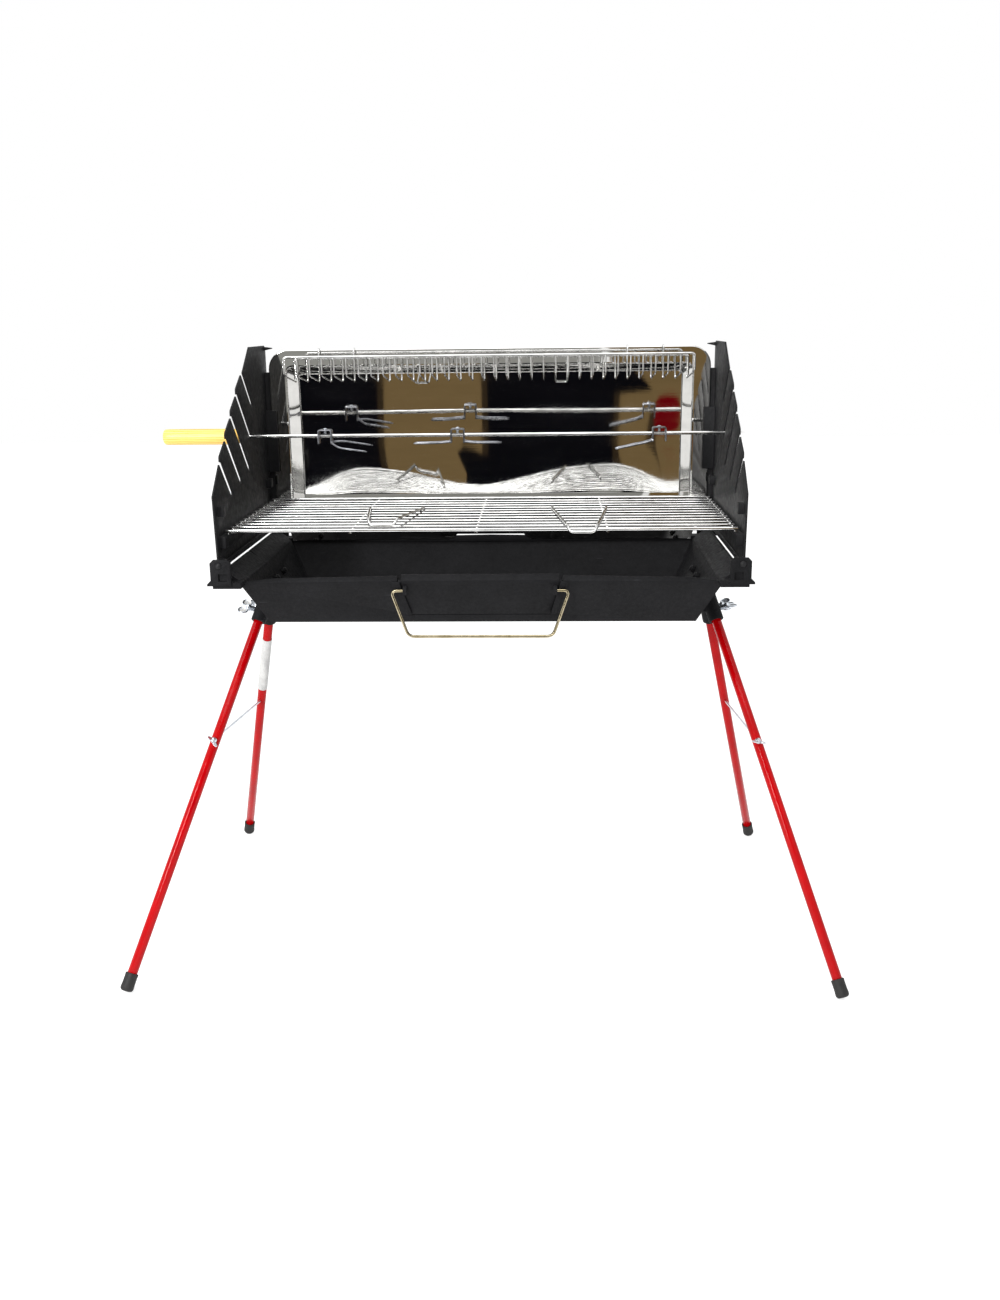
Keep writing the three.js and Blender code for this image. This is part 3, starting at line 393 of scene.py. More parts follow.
def filleted(corners, radius, steps):
    """The corners of a bent wire with each bend rounded."""
    corners = [Vector(c) for c in corners]
    points = [corners[0]]
    for i in range(1, len(corners) - 1):
        at = corners[i]
        back, ahead = corners[i - 1] - at, corners[i + 1] - at
        room = min(radius, 0.48 * back.length, 0.48 * ahead.length)
        a, b = at + back.normalized() * room, at + ahead.normalized() * room
        for k in range(steps + 1):
            t = k / steps
            points.append(a * (1 - t) ** 2 + at * 2 * t * (1 - t) + b * t * t)
    return points + [corners[-1]]


def linked(name, mesh, material):
    obj = bpy.data.objects.new(name, mesh)
    bpy.context.scene.collection.objects.link(obj)
    mesh.materials.clear()
    mesh.materials.append(material)
    return obj


def smoothed(mesh, degrees):
    mesh.polygons.foreach_set("use_smooth", [True] * len(mesh.polygons))
    mesh.set_sharp_from_angle(angle=math.radians(degrees))
    mesh.update()


def applied(obj):
    """Turns an object's modifiers into plain mesh."""
    graph = bpy.context.evaluated_depsgraph_get()
    mesh = bpy.data.meshes.new_from_object(obj.evaluated_get(graph))
    old = obj.data
    obj.modifiers.clear()
    obj.data = mesh
    bpy.data.meshes.remove(old)
    return obj


def from_sketch(name, sketch, material, degrees=40):
    mesh = bpy.data.meshes.new(name)
    mesh.from_pydata([tuple(c * MM for c in v) for v in sketch.verts], [], sketch.faces)
    bm = bmesh.new()
    bm.from_mesh(mesh)
    bmesh.ops.recalc_face_normals(bm, faces=bm.faces)
    bm.to_mesh(mesh)
    bm.free()
    obj = linked(name, mesh, material)
    smoothed(mesh, degrees)
    return obj


def cad_copy(name, node, material):
    mesh = frame["nodes"][node].data.copy()
    mesh.name = name
    bm = bmesh.new()
    bm.from_mesh(mesh)
    bmesh.ops.remove_doubles(bm, verts=bm.verts, dist=3e-6)
    bmesh.ops.dissolve_limit(bm, angle_limit=math.radians(0.5), verts=bm.verts, edges=bm.edges)
    bm.to_mesh(mesh)
    bm.free()
    return linked(name, mesh, material)


def bevelled(name, node, material, width):
    """A CAD node with its edges eased as a casting's or a pressing's are."""
    obj = cad_copy(name, node, material)
    bevel = obj.modifiers.new("ease", "BEVEL")
    bevel.width = width * MM
    bevel.segments = 2
    bevel.limit_method = "ANGLE"
    bevel.angle_limit = math.radians(28)
    applied(obj)
    smoothed(obj.data, 38)
    return obj


def softened(name, node, material, voxel):
    """A CAD node remeshed and relaxed, so that its joins turn into fillets."""
    obj = cad_copy(name, node, material)
    remesh = obj.modifiers.new("weld", "REMESH")
    remesh.mode = "VOXEL"
    remesh.voxel_size = voxel * MM
    smooth = obj.modifiers.new("soften", "SMOOTH")
    smooth.factor = 0.5
    smooth.iterations = 4
    applied(obj)
    smoothed(obj.data, 60)
    obj.data.materials.clear()
    obj.data.materials.append(material)
    return obj


BODY_OF = {n: b for b, members in frame["record"]["behaviour"]["bodies"].items() for n in members}
SLOT_OF = {s["node"]: s["material_slot"] for s in frame["record"]["subparts"]}


def stands_for(obj, *nodes):
    """Rides on the first node's body and replaces the nodes."""
    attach(obj, BODY_OF[nodes[0]])
    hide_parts(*nodes)


for node_name, node_object in frame["nodes"].items():
    node_object.data.materials.clear()
    node_object.data.materials.append(MATERIALS[SLOT_OF[node_name]])

# ---------------------------------------------------------------- castings

stands_for(bevelled("firebox_casting", "firebox", MATERIALS["cast_iron"], 1.3), "firebox")
stands_for(bevelled("hatch_casting", "hatch", MATERIALS["cast_iron"], 0.9), "hatch")
for side in ("left", "right"):
    node = "side_plate_" + side
    stands_for(bevelled("side_plate_casting_" + side, node, PLATE_IRON, 1.0), node)
    node = "leg_bracket_" + side
    stands_for(softened("leg_bracket_casting_" + side, node, MATERIALS["cast_iron"], 1.1), node)

# ---------------------------------------------------------------- legs and their fittings


def leg_line(end):
    run = FEET[end] - APEX
    return run.normalized(), run.length


def leg_point(end, distance):
    return APEX + leg_line(end)[0] * distance


def screw_axis(end):
    run = leg_line(end)[0]
    axis = Vector((1, 0, 0))
    return (axis - run * axis.dot(run)).normalized()


def leg_tube(end):
    length = leg_line(end)[1]
    last = length - 4
    middle = (LEG_START + last) / 2
    inner = LEG_R - 1.3
    profile = [(inner, LEG_START), (LEG_R - 0.4, LEG_START), (LEG_R, LEG_START + 0.5), (LEG_R, middle)]
    profile += [(LEG_R, last - 0.5), (LEG_R - 0.4, last), (inner, last), (inner, middle), (inner, LEG_START)]
    sketch = Sketch()
    sketch.lathe(APEX, FEET[end], profile, 40)
    return sketch, "red_paint", 40


def foot_cap(end):
    length = leg_line(end)[1]
    top = length - CAP_LONG
    bore = LEG_R + 0.15
    profile = [(0, length - 6), (bore, length - 6), (bore, top + 0.6), (CAP_R - 1.6, top)]
    profile += [(CAP_R - 0.6, top + 0.4), (CAP_R - 0.1, top + 1.4), (CAP_R - 0.4, top + 6)]
    profile += [(CAP_R - 0.4, length - 8), (CAP_R, length - 2), (CAP_R - 0.1, length + 1.0)]
    profile += [(CAP_R - 0.9, length + 2.6), (8.6, length + 3.9), (6.6, length + 4.7)]
    profile += [(3.6, length + 5.1), (0, length + 5.2)]
    sketch = Sketch()
    sketch.lathe(APEX, FEET[end], profile, 40)
    sketch.verts = [(x, y, max(z, 0.02)) for x, y, z in sketch.verts]
    return sketch, "rubber", 50


def around(axis, start, spin):
    """A frame with Y along the axis, turned about it by spin."""
    turn = Vector((0, 1, 0)).rotation_difference(axis)
    return Matrix.Translation(start) @ turn.to_matrix().to_4x4() @ Matrix.Rotation(spin, 4, "Y")


WING_TALL, WING_TILT = 1.15, 0.5


def wing_pair(sketch, place, radius, start, thick):
    """Two flat oval wings that spread from start along the place's Y."""
    for side in (-1, 1):
        centre = Vector((side * radius * WING_TALL, start + radius * WING_TALL, 0))
        lean = Matrix.Rotation(-side * WING_TILT, 3, "Z")
        rim = []
        for turn in full_turn(22):
            rim.append(lean @ Vector((radius * math.cos(turn), radius * WING_TALL * math.sin(turn), 0)))

        def layer(share, height):
            return [place @ (centre + flat * share + Vector((0, 0, height * thick / 2))) for flat in rim]

        edge = [layer(0.9, 1.0), layer(1.0, 0.55), layer(1.0, -0.55), layer(0.9, -1.0)]
        sketch.rings([layer(0.55, 0.5), layer(0.75, 0.6)] + edge + [layer(0.75, -0.6), layer(0.55, -0.5)])


def wing_screw(end, spin):
    centre = leg_point(end, SOCKET[end])
    axis = screw_axis(end)
    sketch = Sketch()
    profile = [(0, LEG_R + 0.3), (4.0, LEG_R + 0.3), (4.5, LEG_R + 0.9)]
    thread = LEG_R + 1.2
    while thread < 21.6:
        profile += [(4.5, thread), (3.95, thread + 0.55)]
        thread += 1.1
    profile += [(5.4, 22.0), (6.0, 22.8), (6.0, 25.5), (5.2, 28.0), (3.6, 29.0), (0, 29.0)]
    sketch.lathe(centre, centre + axis, profile, 28)
    wing_pair(sketch, around(axis, centre, spin), 8.0, 22.0, 2.8)
    return sketch, "zinc", 50


def tie_points():
    front, rear = leg_point("front", TIE_AT["front"]), leg_point("rear", TIE_AT["rear"])
    return front, rear, (front - rear).normalized()


def tie_rod():
    front, rear, run = tie_points()
    back = rear - run * 11.6
    length = (front - back).length + 22
    profile = [(0, -2.2), (2.2, -2.1), (3.3, -1.5), (3.6, -0.7), (3.6, 0), (2.0, 0.3), (2.0, length - 34)]
    thread = length - 33.5
    while thread < length - 1.2:
        profile += [(2.0, thread), (1.62, thread + 0.35)]
        thread += 0.7
    profile += [(1.7, length - 0.5), (1.2, length), (0, length)]
    sketch = Sketch()
    sketch.lathe(back, front, profile, 20)
    return sketch, "zinc", 50


def tie_nut(spin):
    front, _, run = tie_points()
    sketch = Sketch()
    start = 12.0
    profile = [(2.35, start), (4.4, start), (4.8, start + 0.5), (4.7, start + 3.5), (3.9, start + 6.6)]
    profile += [(3.3, start + 7.0), (2.35, start + 7.0), (2.35, start)]
    sketch.lathe(front, front + run, profile, 28)
    wing_pair(sketch, around(run, front, spin), 5.2, start + 3.6, 2.0)
    return sketch, "zinc", 50


def hexagon(sketch, at, axis, radius, low, high):
    """A bolt's head or nut, with its corners eased."""
    ease = 0.7
    profile = [(0, low), (radius - ease, low), (radius, low + ease * 0.6), (radius, high - ease * 0.6)]
    profile += [(radius - ease, high), (0, high)]
    sketch.lathe(at, at + axis, profile, 6)


def bracket_bolt(y):
    z = BOLT_Z
    at = Vector((RIM_HALF_X - LEAN + math.tan(WALL_ANGLE) * (z - FLOOR_Z), MID_Y + y, z))
    out = Vector((math.cos(WALL_ANGLE), 0, -math.sin(WALL_ANGLE)))
    sketch = Sketch()
    inner, outer = -5.3, 6.2
    shank = [(0, inner - 9), (3.2, inner - 9), (4.0, inner - 8.2), (4.0, outer + 1), (0, outer + 1)]
    sketch.lathe(at, at + out, shank, 24)
    hexagon(sketch, at, out, 6.5, inner - 6, inner)
    hexagon(sketch, at, out, 6.5, outer, outer + 5)
    return sketch, "black_steel", 30


def plate_pin(end):
    low, high = box_mm("plate_pin_" + end + "_right")
    y_face = low.y + 3.2 if end == "front" else high.y - 3.2
    inward = 1 if end == "front" else -1
    start = Vector(((low.x + high.x) / 2, y_face, (low.z + high.z) / 2))
    profile = [(0, -3.2), (1.8, -3.05), (3.3, -2.4), (4.4, -1.4), (5.0, -0.4), (5.0, 0), (3.0, 0.2)]
    profile += [(3.0, 25.4), (2.4, 26), (0, 26)]
    sketch = Sketch()
    sketch.lathe(start, start + Vector((0, inward, 0)), profile, 28)
    return sketch, "black_steel", 50


def label():
    low, high, start, end = LEG_R + 0.3, LEG_R + 0.75, LABEL["start"], LABEL["end"]
    profile = [(low, start), (high, start + 0.2), (high, end - 0.2), (low, end), (low, start)]
    sketch = Sketch()
    sketch.lathe(APEX, FEET["rear"], profile, 36)
    return sketch, "label", 40


SPINS = {
    "left": {"front": 0.3, "rear": 0.15, "nut": -0.68},
    "right": {"front": -0.25, "rear": 0.2, "nut": 1.41},
}


def fit(name, drawn, side, node):
    """Makes one fitting, drawn for the right-hand end, on the side where its node is."""
    sketch, material, degrees = drawn
    stands_for(from_sketch(name, sketch.mirrored(side), MATERIALS[material], degrees), node)


for side_name, side in (("left", -1), ("right", 1)):
    spins = SPINS[side_name]
    for end in ("front", "rear"):
        at = end + "_" + side_name
        fit("leg_tube_" + at, leg_tube(end), side, "leg_" + at)
        fit("rubber_foot_" + at, foot_cap(end), side, "foot_cap_" + at)
        fit("wing_screw_" + at, wing_screw(end, spins[end]), side, "leg_wing_screw_" + at)
        fit("plate_rivet_" + at, plate_pin(end), side, "plate_pin_" + at)
        fit("hex_bolt_" + at, bracket_bolt(BOLT_Y[end]), side, "bracket_bolt_" + at)
    fit("threaded_tie_" + side_name, tie_rod(), side, "tie_rod_" + side_name)
    fit("wing_nut_" + side_name, tie_nut(spins["nut"]), side, "tie_wing_nut_" + side_name)
fit("blank_label", label(), -1, "leg_label")

# ---------------------------------------------------------------- bail


def in_wall(x, up, out):
    """A point measured up and out from the front wall's rim."""
    return Vector((
        x,
        RIM_FRONT_Y - up * math.sin(WALL_ANGLE) - out * math.cos(WALL_ANGLE),
        RIM_Z + up * math.cos(WALL_ANGLE) - out * math.sin(WALL_ANGLE),
    ))


def bail():
    pivot = in_wall(0, -BAIL["down"], BAIL["out"])
    end, wide, narrow, drop = BAIL["end"], BAIL["wide"], BAIL["narrow"], BAIL["drop"]
    corners = [(-end, 0), (-wide, 0), (-narrow, -drop), (narrow, -drop), (wide, 0), (end, 0)]
    points = filleted([pivot + Vector((x, 0, z)) for x, z in corners], BAIL["bend"], 8)
    sketch = Sketch()
    sketch.wire(points, BAIL["wire"], 16)
    return from_sketch("bail_wire", sketch, MATERIALS["yellow_zinc"])


stands_for(bail(), "bail_handle")

# ---------------------------------------------------------------- spit and forks

rod_low, rod_high = box_mm("spit_rod")
SPIT_Y, SPIT_Z = (rod_low.y + rod_high.y) / 2, (rod_low.z + rod_high.z) / 2


def on_spit(name, profile, sides, material, degrees):
    """A piece turned about the spit's axis, from pairs of radius and x."""
    sketch = Sketch()
    start = Vector((0, SPIT_Y, SPIT_Z))
    sketch.lathe(start, start + Vector((1, 0, 0)), profile, sides)
    return from_sketch(name, sketch, MATERIALS[material], degrees)


def spit_rod():
    x0, x1, r = rod_low.x, rod_high.x, 3.0
    profile = [(0, x0), (r, x0 + 1), (r, x0 + 200), (r, x1 - 200), (r, x1 - 16)]
    profile += [(2.1, x1 - 8), (0.5, x1 - 0.6), (0, x1)]
    return on_spit("spit_steel", profile, 28, "chrome", 40)


def spit_handle():
    low, high = box_mm("spit_handle")
    x0, x1, r = low.x, high.x, (high.z - low.z) / 2
    shape = [(0, 0), (0.5, 0.0), (0.72, 0.25), (0.86, 1.2), (0.95, 3.0), (0.985, 6.0), (1.0, 10)]
    profile = [(r * share, x0 + along) for share, along in shape]
    profile += [(r, (x0 + x1) / 2), (r, x1 - 16), (r * 0.985, x1 - 9), (r * 0.94, x1 - 4.5)]
    profile += [(r * 0.86, x1 - 1.4), (r * 0.76, x1 - 0.2), (r * 0.6, x1)]
    profile += [(3.3, x1), (3.3, x1 - 6), (0, x1 - 6)]
    return on_spit("spit_grip", profile, 44, "varnished_wood", 50)


STRAIGHT = [(0, -11), (20, -13), (64, -13.6)]
SAGGING = [(0, -11), (12, -15), (63, -25.5)]
BOSS = [(3.3, 0), (4.9, 0), (5.2, 0.3), (5.2, 2.6), (4.9, 3.0), (3.3, 3.0), (3.3, 0)]
PRONG_R, PRONG_Y = 1.7, (-8, 8)
PRONG_WELD = [(0, 0), (2.7, 0), (2.4, 1.0), (PRONG_R, 2.4), (0, 2.4)]
# Each fork's x, the ways its prongs point, and its front and rear prong as (along, up) from the rod.
FORKS = {
    "left": (-276, (1,), [(0, -11), (12, -20), (61, -27)], [(0, -11), (17, -9.5), (69, -17.5)]),
    "middle": (-48, (-1, 1), STRAIGHT, STRAIGHT),
    "right": (296, (-1,), SAGGING, SAGGING),
}


def fork(name):
    """A strap bent over the rod, with a boss in each cheek and its prongs."""
    x, prongs, front, rear = FORKS[name]
    half, deep, up, down, thick = 12, 10, 11, 13, 2.0
    centre = Vector((x, SPIT_Y, SPIT_Z))
    mid = half - thick / 2
    corners = [(-mid, -down), (-mid, up - thick / 2), (mid, up - thick / 2), (mid, -down)]
    path = filleted([centre + Vector((a, 0, b)) for a, b in corners], 3.0, 5)
    sketch = Sketch()
    w, t, ease = deep, thick / 2, 0.5
    section = [(-w, -t * 0.5), (-w + ease, -t), (w - ease, -t), (w, -t * 0.5)]
    section += [(w, t * 0.5), (w - ease, t), (-w + ease, t), (-w, t * 0.5)]
    rings = []
    for i, point in enumerate(path):
        ahead = (path[min(i + 1, len(path) - 1)] - path[max(i - 1, 0)]).normalized()
        out = ahead.cross(Vector((0, 1, 0)))
        rings.append([point + Vector((0, a, 0)) + out * b for a, b in section])
    sketch.rings(rings)
    for side in (-1, 1):
        inner = centre + Vector((side * (half - thick), 0, 0))
        sketch.lathe(inner - Vector((side * 0.6, 0, 0)), inner + Vector((side * 4, 0, 0)), BOSS, 24)
    for way in prongs:
        for y, run in zip(PRONG_Y, (front, rear)):
            line = filleted([centre + Vector((way * (mid + a), y, b)) for a, b in run], 8, 5)
            end, onward = line[-1], (line[-1] - line[-2]).normalized()
            line = line[:-1] + [end - onward * 7, end, end + onward * 0.5]
            sketch.tube(line, [PRONG_R] * (len(line) - 2) + [0.7, 0.25], 14)
            weld = centre + Vector((way * (mid + 0.6), y, run[0][1]))
            foot, top = weld - Vector((way * 0.6, 0, 0)), weld + Vector((way * 3, 0, 0))
            sketch.lathe(foot, top, PRONG_WELD, 14)
    return from_sketch("spit_fork_" + name, sketch, MATERIALS["fork_steel"], 45)


def fork_screw(name):
    x = FORKS[name][0]
    start = Vector((x, SPIT_Y, SPIT_Z))
    sketch = Sketch()
    profile = [(0, 3.4), (1.9, 3.4), (2.2, 3.8), (2.2, 11.0), (3.2, 11.05), (3.4, 11.3)]
    profile += [(3.4, 12.3), (2.9, 12.8), (2.0, 12.8), (1.8, 12.2), (0, 12.2)]
    sketch.lathe(start, start + Vector((0, 0, 1)), profile, 24)
    return from_sketch("set_screw_" + name, sketch, MATERIALS["zinc"], 40)


stands_for(spit_rod(), "spit_rod")
stands_for(spit_handle(), "spit_handle")
for name in FORKS:
    stands_for(fork(name), "fork_" + name)
    stands_for(fork_screw(name), "fork_screw_" + name)

# ---------------------------------------------------------------- cooking grate

BAR_PITCH = (GRATE["back"] - GRATE["front"] - 2 * GRATE["edge"]) / (GRATE["bars"] - 1)
BAR_Y = [GRATE["front"] + GRATE["edge"] + i * BAR_PITCH for i in range(GRATE["bars"])]
CROSS_DROP = 3.9
GRATE_WELD = [(0, -0.6), (2.2, -0.4), (2.7, 0.4), (2.2, 1.2), (0, 1.4)]


def bar(sketch, a, b, radius, sides=12):
    """A straight wire with eased ends."""
    a, b = Vector(a), Vector(b)
    run = (b - a).normalized()
    points = [a, a + run * 0.5, a.lerp(b, 0.25), a.lerp(b, 0.5), a.lerp(b, 0.75), b - run * 0.5, b]
    radii = [radius * 0.75] + [radius] * 5 + [radius * 0.75]
    sketch.tube(points, radii, sides)


def grate():
    sketch = Sketch()
    half, z = GRATE["half"], GRATE["z"]
    for y in (GRATE["front"], GRATE["back"]):
        bar(sketch, (-half, y, z), (half, y, z), GRATE["rim"], 16)
    for i, y in enumerate(BAR_Y):
        bar(sketch, (-half + (i * 7) % 3 * 0.4, y, z), (half - (i * 5) % 3 * 0.4, y, z), GRATE["bar"])
    for x in CROSS_X:
        bar(sketch, (x, GRATE["front"], z - CROSS_DROP), (x, GRATE["back"], z - CROSS_DROP), GRATE["bar"])
        for y in (GRATE["front"] + 1.0, *BAR_Y, GRATE["back"] - 1.0):
            sketch.lathe((x, y, z - 2.6), (x, y, z - 1.2), GRATE_WELD, 10)
    return from_sketch("grate_wires", sketch, MATERIALS["chrome"])


# Each loop's x, how far it reaches to the front, and its tilt in degrees.
LOOPS = {"left": (-153, 206, 3.5), "right": (160, 217, 0.4)}


def grate_loop(name):
    x, reach, tilt = LOOPS[name]
    half, grip, r, eye, hook, lift = 46, 19, 2.2, 5, 9, 4.9

    def arm(s):
        x = s * half
        eyelet = [(x, -eye, -eye), (x, eye, -eye), (x, eye, lift), (x, -eye * 2, lift)]
        return eyelet + [(s * (grip + 4), -reach + 10, lift), (s * grip, -reach, lift - hook)]

    corners = [Vector(c) for c in arm(-1) + arm(1)[::-1]]
    turn = Matrix.Rotation(-math.radians(tilt), 3, "X")
    pivot = Vector((x, BAR_Y[6], GRATE["z"]))
    points = filleted([pivot + turn @ c for c in corners], 9, 7)
    sketch = Sketch()
    sketch.wire(points, r, 14)
    return from_sketch("grate_loop_wire_" + name, sketch, MATERIALS["chrome"])


stands_for(grate(), "grate")
for name in LOOPS:
    stands_for(grate_loop(name), "grate_handle_" + name)

# ---------------------------------------------------------------- reflector


def wave(x):
    """A smooth curve through the crests and troughs of the sheet near its foot."""
    if x <= WAVES[0][0]:
        return WAVES[0][1]
    for (x0, a), (x1, b) in zip(WAVES, WAVES[1:]):
        if x <= x1:
            return a + (b - a) * (0.5 - 0.5 * math.cos(math.pi * (x - x0) / (x1 - x0)))
    return WAVES[-1][1]


def ripple(x, z):
    """How far the thin panel stands behind its flat shape, in millimetres."""
    rise = (z - PANEL["low"]) / (PANEL["high"] - PANEL["low"])
    bow = RIPPLE["bow"] * (RIPPLE["level"] - (x / PANEL["half"]) ** 2)
    belly = RIPPLE["belly"] * rise * (1 - rise)
    foot = -RIPPLE["foot"] * wave(x) * (1 - min(1.0, rise / RIPPLE["fade"])) ** 1.6
    slow = RIPPLE["slow"] * math.sin(x / 62 + z / 110 + 2.0)
    return bow + belly + foot + slow


def arch(half, top, corner, y):
    """Points up the left side, across the top and down the right side of the pan."""
    rise, bend, across = 22, 8, 44
    low, wide = REFLECTOR["z0"], half - corner
    height = top - corner - low

    def rounded(side, first):
        turns = [first - math.pi / 2 * i / bend for i in range(bend + 1)]
        ends = [(side * wide + corner * math.cos(t), top - corner + corner * math.sin(t)) for t in turns]
        return [Vector((x, y, z)) for x, z in ends]

    points = [Vector((-half, y, low + height * i / rise)) for i in range(rise)]
    points += rounded(-1, math.pi)
    points += [Vector((-wide + 2 * wide * i / across, y, top)) for i in range(1, across)]
    points += rounded(1, math.pi / 2)
    points += [Vector((half, y, top - corner - height * i / rise)) for i in range(1, rise + 1)]
    return points


def panel_y(z, back):
    """The panel stands further back at its foot than at its top."""
    return back + PANEL["lean"] * (PANEL["high"] - z) / (PANEL["high"] - PANEL["low"])


def skin(sketch, loops):
    """Joins open rows of points into one sheet."""
    n = len(loops[0])
    faces = []
    for k in range(len(loops) - 1):
        faces += [(k * n + i, k * n + i + 1, (k + 1) * n + i + 1, (k + 1) * n + i) for i in range(n - 1)]
    sketch.take([p for loop in loops for p in loop], faces)


def grid(sketch, place, nx, nz):
    """A sheet whose points come from place(u, w), with both running from 0 to 1."""
    skin(sketch, [[place(i / nx, j / nz) for i in range(nx + 1)] for j in range(nz + 1)])


def reflector():
    half, top, low, y, border, depth = (REFLECTOR[k] for k in ("half", "z1", "z0", "y", "border", "depth"))
    inner, inner_top = half - border, top - border + 2
    face, back_y = y - 0.5, y + depth - 0.4
    corner, inset, throat = REFLECTOR["corner"], PANEL["inset"], PANEL["throat"]
    loops = [
        arch(half - 0.9, top - 0.9, corner, face + 2.0),
        arch(half - 0.2, top - 0.2, corner, face + 1.4),
        arch(half, top, corner, face + 0.8),
        arch(half - 0.4, top - 0.4, corner, face + 0.2),
        arch(half - 1.1, top - 1.1, corner - 1, face),
        arch(half - 3.0, top - 3.0, corner - 2, face),
        arch(half - border * 0.4, top - border * 0.4, 24, face + 0.12),
        arch(inner + 4, inner_top + 4, 14, face),
        arch(inner + 1.4, inner_top + 1.4, 12, face),
        arch(inner + 0.4, inner_top + 0.4, 11, face + 0.4),
        arch(inner - 0.2, inner_top - 0.2, 11, face + 1.4),
        arch(inner - 1.2, inner_top - 1.2, 11, face + throat),
    ]
    for share, tuck in ((0.5, 0.0), (0.9, 0.0), (0.97, 0.1), (1.0, 0.9)):
        loop = arch(inner - inset * share - tuck, inner_top - inset * share - tuck, 11 - 3 * share, 0.0)
        for p in loop:
            behind = panel_y(p.z, back_y) + ripple(p.x, p.z)
            p.y = face + throat * (1 - share) + (behind - face) * share
        loops.append(loop)
    sketch = Sketch()
    skin(sketch, loops)
    edge = loops[-1]
    x0, x1, z1 = edge[0].x, edge[-1].x, max(p.z for p in edge)

    def panel(u, w):
        x, z = x0 + (x1 - x0) * u, low + 1.0 + (z1 - low - 1.0) * w
        return (x, panel_y(z, back_y) + ripple(x, z), z)

    grid(sketch, panel, 130, 48)
    floor_back = panel_y(low, back_y)

    def floor(u, w):
        return (-inner + 2 * inner * u, face + 1 + (floor_back - face - 1) * w, low + 0.6 + 0.5 * w)

    grid(sketch, floor, 24, 2)

    def apron(u, w):
        half = APRON["half"] - APRON["taper"] * (1 - w) ** 4
        x = -half + 2 * half * u
        foot = APRON["z"] + (APRON["notch"] if abs(x) < APRON["notch_half"] else 0)
        return (x, face + 0.1 + 0.25 * math.sin(x / 90) * math.sin(w * 3.1), foot + (low + 0.6 - foot) * w)

    grid(sketch, apron, 60, 8)
    mesh = bpy.data.meshes.new("reflector_sheet")
    mesh.from_pydata([tuple(c * MM for c in v) for v in sketch.verts], [], sketch.faces)
    bm = bmesh.new()
    bm.from_mesh(mesh)
    bmesh.ops.remove_doubles(bm, verts=bm.verts, dist=1e-6)
    for f in bm.faces:
        if f.normal.y > 0.02 or (abs(f.normal.y) <= 0.02 and f.normal.z < 0):
            f.normal_flip()
    bm.to_mesh(mesh)
    bm.free()
    obj = linked("reflector_sheet", mesh, MATERIALS["stainless"])
    solid = obj.modifiers.new("sheet", "SOLIDIFY")
    solid.thickness = 0.7 * MM
    solid.offset = -1
    applied(obj)
    smoothed(obj.data, 50)
    return obj


stands_for(reflector(), "reflector")

# ---------------------------------------------------------------- warming rack


def rack_x(i):
    return RACK["mid"] + (i - (RACK["wires"] - 1) / 2) * RACK["pitch"]


RACK_WELD = [(0, 0), (1.5, 0.2), (1.8, 1.0), (1.5, 1.8), (0, 2.0)]


def warming_rack():
    """Two rails, the wires between them, four hooks over the sheet and two feet on its panel."""
    sketch = Sketch()
    r, rear, front = RACK["wire"], RACK_REAR["y"], RACK_FRONT["y"]
    first, last = rack_x(0), rack_x(RACK["wires"] - 1)
    for rail in (RACK_REAR, RACK_FRONT):
        y, top, low, grow = (rail[k] for k in ("y", "top", "rail_foot", "grow"))
        ends = [(first - grow, y, low), (first - grow, y, top), (last + grow, y, top), (last + grow, y, low)]
        sketch.tube(filleted(ends, 7, 8), RACK["rail"], 14)
    over, behind = REFLECTOR["z1"] + 0.3 + r, REFLECTOR["y"] + 6
    for i in range(RACK["wires"]):
        x = rack_x(i)
        corners = [(x, rear, RACK_REAR["top"]), (x, rear, RACK_REAR["wire_foot"])]
        corners += [(x, front, RACK_FRONT["wire_foot"]), (x, front, RACK_FRONT["top"])]
        if i in RACK_HOOKS:
            corners = [(x, behind, over - 13), (x, behind, over), (x, rear, over)] + corners[1:]
        sketch.tube(filleted(corners, 5.0, 6), r, 12)
        for rail in (RACK_REAR, RACK_FRONT):
            y, z = rail["y"], rail["top"] - 2.2
            sketch.lathe((x, y - 1.0, z), (x, y + 1.0, z), RACK_WELD, 8)
    panel = REFLECTOR["y"] + REFLECTOR["depth"] - 3.2 - r
    for i in RACK_FEET:
        ends = [(rack_x(k), rear - 1, RACK_REAR["wire_foot"]) for k in (i, i - 1)]
        bends = [(rack_x(k), panel, RACK_FOOT_Z) for k in (i, i - 1)]
        sketch.tube(filleted([ends[0], bends[0], bends[1], ends[1]], 4, 6), r, 12)
    return from_sketch("rack_wires", sketch, MATERIALS["chrome"])


stands_for(warming_rack(), "warming_rack")

# ---------------------------------------------------------------- stage, light and camera

ROOM_Y = -730
ROOM_LOW, ROOM_HIGH, ROOM_CEILING = 560, 800, 1150


def emitter(name, colour):
    """A card's material, which only gives out light."""
    material = bpy.data.materials.new(name)
    material.use_nodes = True
    tree = material.node_tree
    tree.nodes.remove(tree.nodes["Principled BSDF"])
    light = tree.nodes.new("ShaderNodeEmission")
    light.inputs["Color"].default_value = (*colour, 1)
    light.inputs["Strength"].default_value = 1.0
    tree.links.new(light.outputs[0], tree.nodes["Material Output"].inputs["Surface"])
    return material


def card(name, corners, material):
    """A panel of the studio that only shows in reflections."""
    mesh = bpy.data.meshes.new(name)
    mesh.from_pydata([Vector(c) * MM for c in corners], [], [tuple(range(len(corners)))])
    obj = linked(name, mesh, material)
    for ray in ("camera", "diffuse", "shadow", "transmission", "volume_scatter"):
        setattr(obj, "visible_" + ray, False)


